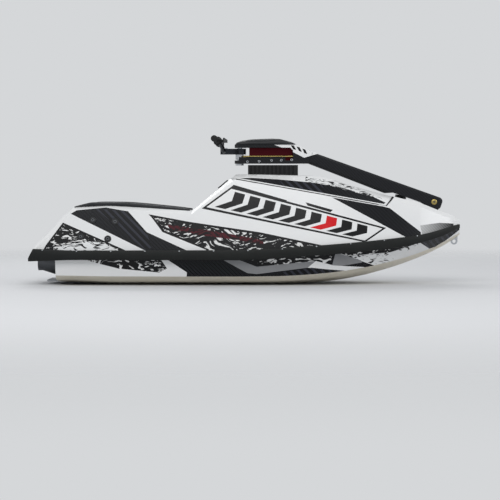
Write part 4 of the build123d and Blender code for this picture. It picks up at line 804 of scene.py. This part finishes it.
def screw(at, axis, radius):
    """A socket screw's head and the bottom of its hexagon socket, as two turned shapes; the bottom is black
    painted shade.
    """
    head = turned(
        [
            (-1, radius), (0.7 * radius, radius), (0.85 * radius, 0.85 * radius),
            (0.85 * radius, 0.56 * radius), (0.45 * radius, 0.54 * radius),
        ],
        at, axis, 20,
    )
    socket = turned([(0.35 * radius, 0.55 * radius), (0.5 * radius, 0.55 * radius)], at, axis, 6)
    return [(0, head), (1, socket)]


def cup_bolt(at, axis):
    """A socket screw in a black cup washer, as three turned shapes; the socket's bottom is black painted
    shade.
    """
    cup = turned([(-1, 18), (1.5, 18), (4.0, 15.5), (4.0, 11.5), (2.0, 10.5)], at, axis, 32)
    head = turned([(1.5, 9), (4.0, 9), (5.2, 7.8), (5.2, 4.8), (3.0, 4.6)], at, axis, 24)
    socket = turned([(2.6, 4.7), (3.1, 4.7)], at, axis, 6)
    return [(0, cup), (1, head), (2, socket)]


def rivet(at, axis, radius):
    """A domed rivet, its foot a little inside what it holds."""
    steps = [0.0, 0.35, 0.65, 0.88, 1.0]
    dome = [(radius * 0.34 * share, radius * math.sqrt(1 - share * share * 0.98)) for share in steps]
    return turned([(-1, radius)] + dome, at, axis, 16)


def foot_hold_bolts():
    """The screws through each gunwale that carry the foot holds."""
    places = [(-792, 336), (-678, 328), (-714, 240), (-854, 251)]
    parts = []
    for side in SIDES:
        for x, z in places:
            parts += cup_bolt(*on_side(deck_piece, x, z, side))
    new_piece("foot_hold_bolts", join(parts), ["plastic", "dark_casting_and_painted_shade", "socket"], "craft")


def bumper_rivets(rails):
    """Rivets along the upper bevel of the bumper rail, 175 mm apart."""
    pitch, first, count = 175, -1046, 12
    parts = []
    for side in SIDES:
        for number in range(count):
            x = first + number * pitch
            _, high = edges_at(rails[side], x, side)
            parts.append((0, rivet(*on_side(rails[side], x, high - RIVET_DROP, side), 3.5)))
    new_piece("bumper_rivets", join(parts), ["casting"], "craft")


def edges_at(piece, x, side):
    """Lowest and highest side-view heights of a piece at a place along it, mm."""
    way = Vector((0, -side, 0))
    low, high = (corner[2] / MM for corner in (piece.bound_box[0], piece.bound_box[6]))
    heights = np.arange(low, high, 1.0)
    met = [z for z in heights if piece.ray_cast(Vector((x, side * FAR, z)) * MM, way)[0]]
    return met[0], met[-1]


def rail_bolts(head):
    """Socket screws along the lower rail and the cheek of the pole's head."""
    parts = []
    for side in SIDES:
        for x, z in ((1, 638), (62, 640), (127, 645), (178, 646), (232, 648)):
            parts += screw(*on_side(head, x, z, side), 6.5)
    new_piece("rail_bolts", join(parts), ["steel", "socket"], "pole")


def bead(name, points, radius_mm):
    """A round rubber bead along a line of points in metres."""
    data = bpy.data.curves.new(name, "CURVE")
    data.dimensions = "3D"
    data.bevel_depth = radius_mm * MM
    data.bevel_resolution = 2
    data.use_fill_caps = True
    line = data.splines.new("POLY")
    line.points.add(len(points) - 1)
    for spot, point in zip(line.points, points):
        spot.co = (*point, 1)
    data.materials.append(FINISHES["soft_rubber"])
    piece = bpy.data.objects.new(name, data)
    bpy.context.scene.collection.objects.link(piece)
    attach(piece, "craft")


def hood_seal():
    """The rubber seal in the groove under the hood's edge, and across the slot at its front."""
    rear_x, front_x, step = -58, 704, 32
    below_edge, inward, upward = 2, 2.2, 0.6
    half_width, past_slot, sunk = 150, 3, 3.5
    for side, label in zip(SIDES, ("starboard", "port")):
        points = []
        for x in np.arange(rear_x, front_x, step):
            low, _ = edges_at(hood_piece, x, side)
            point, _ = on_side(deck_piece, x, low - below_edge, side)
            points.append((point.x, point.y - side * inward * MM, (low + upward) * MM))
        bead("hood_seal_" + label, points, SEAL_R)
    points = []
    for y in np.linspace(-half_width, half_width, 41):
        x = slot_x(y)
        behind, _ = on_top(hood_piece, x - FRONT_SLOT_HALF - past_slot, y)
        ahead, _ = on_top(deck_piece, x + FRONT_SLOT_HALF + past_slot, y)
        points.append((x * MM, y * MM, (behind.z + ahead.z) / 2 - sunk * MM))
    bead("hood_seal_front", points, FRONT_SEAL_R)


def slot_x(y):
    """Middle of the slot ahead of the hood at a place across it, mm."""
    down, round_the_edge = Vector((0, 0, -1)), range(700, 790)
    xs = [x for x in round_the_edge if hood_piece.ray_cast(Vector((x, y, FAR)) * MM, down)[0]]
    return xs[-1] + FRONT_SLOT_HALF


POLE_PRINT = [
    ("white", [(105, 740), (180, 738), (256, 736), (372, 692), (372, 681), (298, 659), (221, 698)]),
    ("black", [(228, 724), (244, 723), (257, 700), (241, 703)]),
    ("black", [(258, 718), (274, 714), (287, 689), (271, 694)]),
    ("black", [(288, 707), (304, 702), (315, 678), (299, 683)]),
]


def printed_pole(node, panels):
    """A piece of the pole in composite, with the white panel on its shoulder."""
    names = ["composite", "white", "black"]
    bm = welded(node)
    for finish, outline in panels:
        print_panel(bm, outline, names.index(finish), None)
    piece = new_piece(node + "_dressed", bm, names, "pole")
    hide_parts(node)
    round_edges(piece, POLE_EDGE)
    return piece


def along_of(node):
    """A long node's axis: its two ends in metres, nearest the middle of the craft first."""
    points = np.array([v.co for v in frame["nodes"][node].data.vertices])
    middle = points.mean(axis=0)
    way = np.linalg.svd(points - middle)[2][0]
    shares = (points - middle) @ way
    ends = [Vector(middle + way * share) for share in (shares.min(), shares.max())]
    return sorted(ends, key=lambda p: abs(p.y))


def grip(node):
    """A ribbed rubber grip with its flange, over the CAD grip's own length."""
    start, end = along_of(node)
    length = (end - start).length / MM
    profile = [(0, 12), (0, 21), (1, 22), (5, 22), (6, 21), (7, 15.5)]
    pitch = 5.5
    for number in range(int((length - 18) / pitch)):
        base = 9 + number * pitch
        profile += [(base, 15.2), (base + 1.2, 16.5), (base + 3.0, 16.5), (base + 4.2, 15.2)]
    profile += [(length - 6, 16.5), (length - 1.5, 16.5), (length, 15)]
    ribbed = turned(profile, start, end - start, 28)
    piece = new_piece(node + "_ribbed", ribbed, ["soft_rubber"], "bars")
    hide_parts(node)


def clamp_screws(clamp):
    """Four screws that pull the clamp onto the bar."""
    bar_x, reach_x, reach_y = -122.3, 12, 22
    parts = []
    for along in SIDES:
        for side in SIDES:
            parts += screw(*on_top(clamp, bar_x + along * reach_x, side * reach_y), 5.5)
    new_piece("clamp_screws", join(parts), ["steel", "socket"], "bars")


def lever_screw(lever):
    """The screw that the throttle lever pivots on."""
    x, y = -113, -207
    new_piece("lever_screw", join(screw(*on_top(lever, x, y), 4)), ["steel", "socket"], "bars")


def tab_screws(holds):
    """Two screws through each foot hold's flange on the tray floor."""
    xs, from_middle = (-822, -728), 56
    parts = []
    for side in SIDES:
        for x in xs:
            parts += screw(*on_top(holds[side], x, side * from_middle), 6)
    new_piece("tab_screws", join(parts), ["steel", "socket"], "craft")


def switch_buttons():
    """Domed caps on the switch box's two bosses: stop in red, start in green."""
    start, end = along_of("grip_port")
    way = (end - start).normalized()
    back = Vector((-1, 0, 0))
    back = (back - way * back.dot(way)).normalized()
    dome = [(-3, 5.4), (0.3, 5.4), (1.0, 4.6), (1.4, 2.8), (1.5, 0.2)]
    inboard_of_grip, behind_bar = (17.3, 36.7), 24
    parts = []
    for number, inboard in enumerate(inboard_of_grip):
        foot = start - way * inboard * MM + back * behind_bar * MM
        parts.append((number, turned(dome, foot, back, 24)))
    new_piece("switch_buttons", join(parts), ["stop_red", "start_green"], "bars")


def pivot_bolt():
    """The pole's brass bolt: two slightly crowned heads on one pin, each with a shallow socket whose bottom
    is dark painted shade.
    """
    low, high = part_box("pivot_bolt")
    middle = (Vector(low) + Vector(high)) / 2
    half_profile = [
        (55.5, 5), (57.6, 5.4), (57.9, 8), (57.2, 12.6), (55.6, 14.6), (54.4, 15), (50, 15), (50, 10),
    ]
    profile = [(-along, radius) for along, radius in half_profile] + list(reversed(half_profile))
    parts = [(0, turned(profile, middle, (0, 1, 0), 40))]
    for side in SIDES:
        # Dark painted shade at the bottom of each socket
        parts.append((1, turned([(55.3, 5.2), (55.9, 5.2)], middle, (0, side, 0), 6)))
    piece = new_piece("pivot_bolt_turned", join(parts), ["brass", "dark_casting_and_painted_shade"], "pole")
    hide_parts("pivot_bolt")


# Soft pads


def pad_blank(node, inset_mm, round_mm, voxel_mm):
    """A pad's cover before filling: the CAD solid, drawn in, its upper edges rounded, on an even mesh."""
    bm = welded(node)
    bm.normal_update()
    base = {f for f in bm.faces if f.normal.z < -0.7}
    on_base = {v for f in base for v in f.verts}
    steps = {v: -v.normal * inset_mm * MM for v in bm.verts}
    for vertex, step in steps.items():
        if vertex in on_base:
            step.z = 0
        vertex.co += step
    upper = [
        e for e in bm.edges
        if e.calc_face_angle(0) > math.radians(20) and not any(f in base for f in e.link_faces)
    ]
    bmesh.ops.bevel(
        bm, geom=upper, offset=round_mm * MM, segments=3, profile=0.5, affect="EDGES", clamp_overlap=True,
    )
    mesh = bpy.data.meshes.new("pad_blank")
    bm.to_mesh(mesh)
    bm.free()
    blank = bpy.data.objects.new("pad_blank", mesh)
    bpy.context.scene.collection.objects.link(blank)
    even = blank.modifiers.new("even_mesh", "REMESH")
    even.mode = "VOXEL"
    even.voxel_size = voxel_mm * MM
    graph = bpy.context.evaluated_depsgraph_get()
    cover = bmesh.new()
    cover.from_mesh(blank.evaluated_get(graph).data)
    bpy.data.objects.remove(blank)
    bpy.data.meshes.remove(mesh)
    cover.normal_update()
    loose = [v for v in cover.verts if v.normal.z > -0.5]
    for _ in range(3):
        bmesh.ops.smooth_vert(
            cover, verts=loose, factor=0.5, use_axis_x=True, use_axis_y=True, use_axis_z=True,
        )
    return cover


def fill_pad(piece, cap_mm):
    """Fills a pad's cover by pressure with its base held, and keeps each point's move under a cap."""
    held = [v.index for v in piece.data.vertices if v.normal.z < -0.5]
    piece.vertex_groups.new(name="base").add(held, 1.0, "REPLACE")
    cloth = piece.modifiers.new("filling", "CLOTH")
    cloth.settings.vertex_group_mass = "base"
    cloth.settings.use_pressure = True
    cloth.settings.uniform_pressure_force = PAD_PRESSURE
    cloth.settings.effector_weights.gravity = 0.0
    cloth.collision_settings.use_collision = False
    cloth.point_cache.frame_start = 1
    cloth.point_cache.frame_end = PAD_FRAMES
    for number in range(1, PAD_FRAMES + 1):
        bpy.context.scene.frame_set(number)
    graph = bpy.context.evaluated_depsgraph_get()
    filled = [v.co.copy() for v in piece.evaluated_get(graph).data.vertices]
    piece.modifiers.remove(cloth)
    piece.vertex_groups.clear()
    for vertex, place in zip(piece.data.vertices, filled):
        step = place - vertex.co
        vertex.co += step * min(1.0, cap_mm * MM / max(step.length, 1e-9))
    bpy.context.scene.frame_set(1)


def sew_channels(piece, lines_mm):
    """Draws a pad's top down along lines fore and aft, given by their y."""
    for vertex in piece.data.vertices:
        if vertex.normal.z > 0.3:
            away = min(abs(vertex.co.y / MM - y) for y in lines_mm) / CHANNEL_HALF
            vertex.co.z -= CHANNEL_DEPTH * MM * max(0.0, 1 - away * away)
    piece.data.update()


def stitches(piece, lines_mm, x_low, x_high):
    """A row of thread stitches in each channel of a pad, as small rounded rods."""
    tip, lifted = 0.4, Vector((0, 0, 0.3 * MM))
    parts = []
    for y in lines_mm:
        for number in range(int((x_high - x_low) / STITCH_PITCH)):
            x = x_low + number * STITCH_PITCH
            start, _ = on_top(piece, x, y)
            end, _ = on_top(piece, x + STITCH_LENGTH, y)
            length = (end - start).length / MM
            rod = [(0, STITCH_TIP_R), (tip, STITCH_R), (length - tip, STITCH_R), (length, STITCH_TIP_R)]
            parts.append((0, turned(rod, start + lifted, end - start, 6)))
    return join(parts)


def soft_pad(node, lines_mm, round_mm):
    """A foam pad in its sewn cover, in the place of its CAD solid."""
    cover = pad_blank(node, PAD_DRAW_IN, round_mm, PAD_VOXEL)
    piece = new_piece(node + "_cover", cover, ["cover"], body_of(node))
    fill_pad(piece, PAD_CAP)
    sew_channels(piece, lines_mm)
    piece.data.shade_smooth()
    piece.modifiers.new("even_cover", "SUBSURF").render_levels = 1
    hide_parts(node)
    low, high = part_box(node)
    bpy.context.view_layer.update()
    rows = stitches(piece, lines_mm, low[0] / MM + STITCH_END, high[0] / MM - STITCH_END)
    new_piece(node + "_stitches", rows, ["thread"], body_of(node))


# Studio


def studio():
    bm = bmesh.new()
    bmesh.ops.create_circle(bm, cap_ends=True, segments=96, radius=FLOOR_RADIUS)
    mesh = bpy.data.meshes.new("studio_floor")
    bm.to_mesh(mesh)
    bm.free()
    mesh.materials.append(studio_floor())
    floor = bpy.data.objects.new("studio_floor", mesh)
    floor.location.z = -FLOOR_DROP
    bpy.context.scene.collection.objects.link(floor)


def lamp(name, at, aim, size, watts):
    light = bpy.data.lights.new(name, "AREA")
    light.shape = "RECTANGLE"
    light.size, light.size_y = size
    light.energy = watts
    holder = bpy.data.objects.new(name, light)
    holder.location = at
    holder.rotation_euler = (Vector(aim) - Vector(at)).to_track_quat("-Z", "Y").to_euler()
    bpy.context.scene.collection.objects.link(holder)


def lights():
    lamp("key_softbox", (-0.6, -3.8, 3.6), (0, 0, 0.3), (5.0, 2.0), 108)
    lamp("bow_softbox", (4.6, -1.6, 2.4), (0.2, 0, 0.3), (2.4, 2.4), 45)
    lamp("back_softbox", (-0.6, 3.8, 3.6), (0, 0, 0.3), (5.0, 2.0), 76)
    lamp("stern_softbox", (-4.4, 0.8, 2.6), (0, 0, 0.3), (2.8, 2.8), 34)


def backdrop():
    world = bpy.data.worlds.new("pale_backdrop")
    bpy.context.scene.world = world
    world.use_nodes = True
    tree = world.node_tree
    base = tree.nodes["Background"]
    base.inputs["Color"].default_value = ink("DDE0E3")
    base.inputs["Strength"].default_value = 0.56
    seen = add(tree, "ShaderNodeBackground", {"Color": ink("D5D7D9"), "Strength": 1.0}, {})
    path = add(tree, "ShaderNodeLightPath", {}, {})
    mirrored = add(
        tree, "ShaderNodeMath", {"operation": "MAXIMUM"},
        {0: path.outputs["Is Glossy Ray"], 1: path.outputs["Is Transmission Ray"]},
    )
    shown = add(
        tree, "ShaderNodeMath", {"operation": "MAXIMUM"},
        {0: path.outputs["Is Camera Ray"], 1: mirrored.outputs[0]},
    )
    pick = add(
        tree, "ShaderNodeMixShader", {},
        {0: shown.outputs[0], 1: base.outputs["Background"], 2: seen.outputs["Background"]},
    )
    tree.links.new(pick.outputs["Shader"], tree.nodes["World Output"].inputs["Surface"])


def camera():
    data = bpy.data.cameras.new("side_camera")
    data.lens = LENS_MM
    data.sensor_width = SENSOR_MM
    holder = bpy.data.objects.new("side_camera", data)
    holder.location = CAMERA_AT
    holder.rotation_euler = (Vector(CAMERA_AIM) - Vector(CAMERA_AT)).to_track_quat("-Z", "Y").to_euler()
    bpy.context.scene.collection.objects.link(holder)
    bpy.context.scene.camera = holder


# The craft

moulding("hull", HULL_PRINT)
deck_piece = moulding("deck", DECK_PRINT + chevron_band())
hood_piece = moulding("hood", HOOD_PRINT)
rail_pieces = {
    -1: dressed("bumper_starboard", "rubber", 2.5),
    1: dressed("bumper_port", "rubber", 2.5),
}
dressed("bumper_stern", "rubber", 2.5)
dressed("bumper_bow", "rubber", 1.2)
foot_hold_bolts()
bumper_rivets(rail_pieces)
hood_seal()
printed_pole("pole_beam", POLE_PRINT)
rail_bolts(printed_pole("pole_head", POLE_PRINT))
grip("grip_port")
grip("grip_starboard")
switch_buttons()
pivot_bolt()
clamp_screws(dressed("bar_clamp", "black_metal", 1.5))
lever_screw(dressed("throttle_lever", "plastic", 1.5))
tab_screws({
    -1: dressed("foot_hold_starboard", "plastic", 2.0),
    1: dressed("foot_hold_port", "plastic", 2.0),
})
dressed("tray_mat", "foam", 1.5)
soft_pad("gunwale_pad_port", (206, 218), 8.0)
soft_pad("gunwale_pad_starboard", (-218, -206), 8.0)
soft_pad("chin_pad", (-36, -12, 12, 36), 9.0)
# Columns: node, finish, width of the rounded edges in mm
DRESSED = [
    ("engine_block", "engine", 4.0), ("intake_grate", "casting", 1.5), ("ride_plate", "casting", 1.5),
    ("pump_housing", "casting", 1.0), ("pump_cone", "casting", 1.0),
    # The nozzle's dark grey is partly painted shade under the stern's overhang
    ("steering_nozzle", "dark_casting_and_painted_shade", 1.0), ("impeller", "steel", 0.5), ("impeller_shaft", "steel", 0.8),
    ("pole_bracket", "black_metal", 1.2), ("head_spine", "wine_metal", 0.8), ("cable_rod", "brass", 0.6),
    ("steering_stem", "steel", 0.8),
    ("steering_arm", "steel", 0.8), ("handlebar", "black_metal", 0.5), ("switch_box", "plastic", 2.0),
    ("pole_rest", "soft_rubber", 2.0), ("tow_eye", "steel", 1.0), ("filler_cap", "plastic", 1.5),
    ("hood_latch", "soft_rubber", 1.5), ("drain_plugs", "plastic", 1.0),
]
for node, finish, width in DRESSED:
    dressed(node, finish, width)

studio()
lights()
backdrop()
camera()
bpy.context.scene.view_settings.view_transform = "Standard"
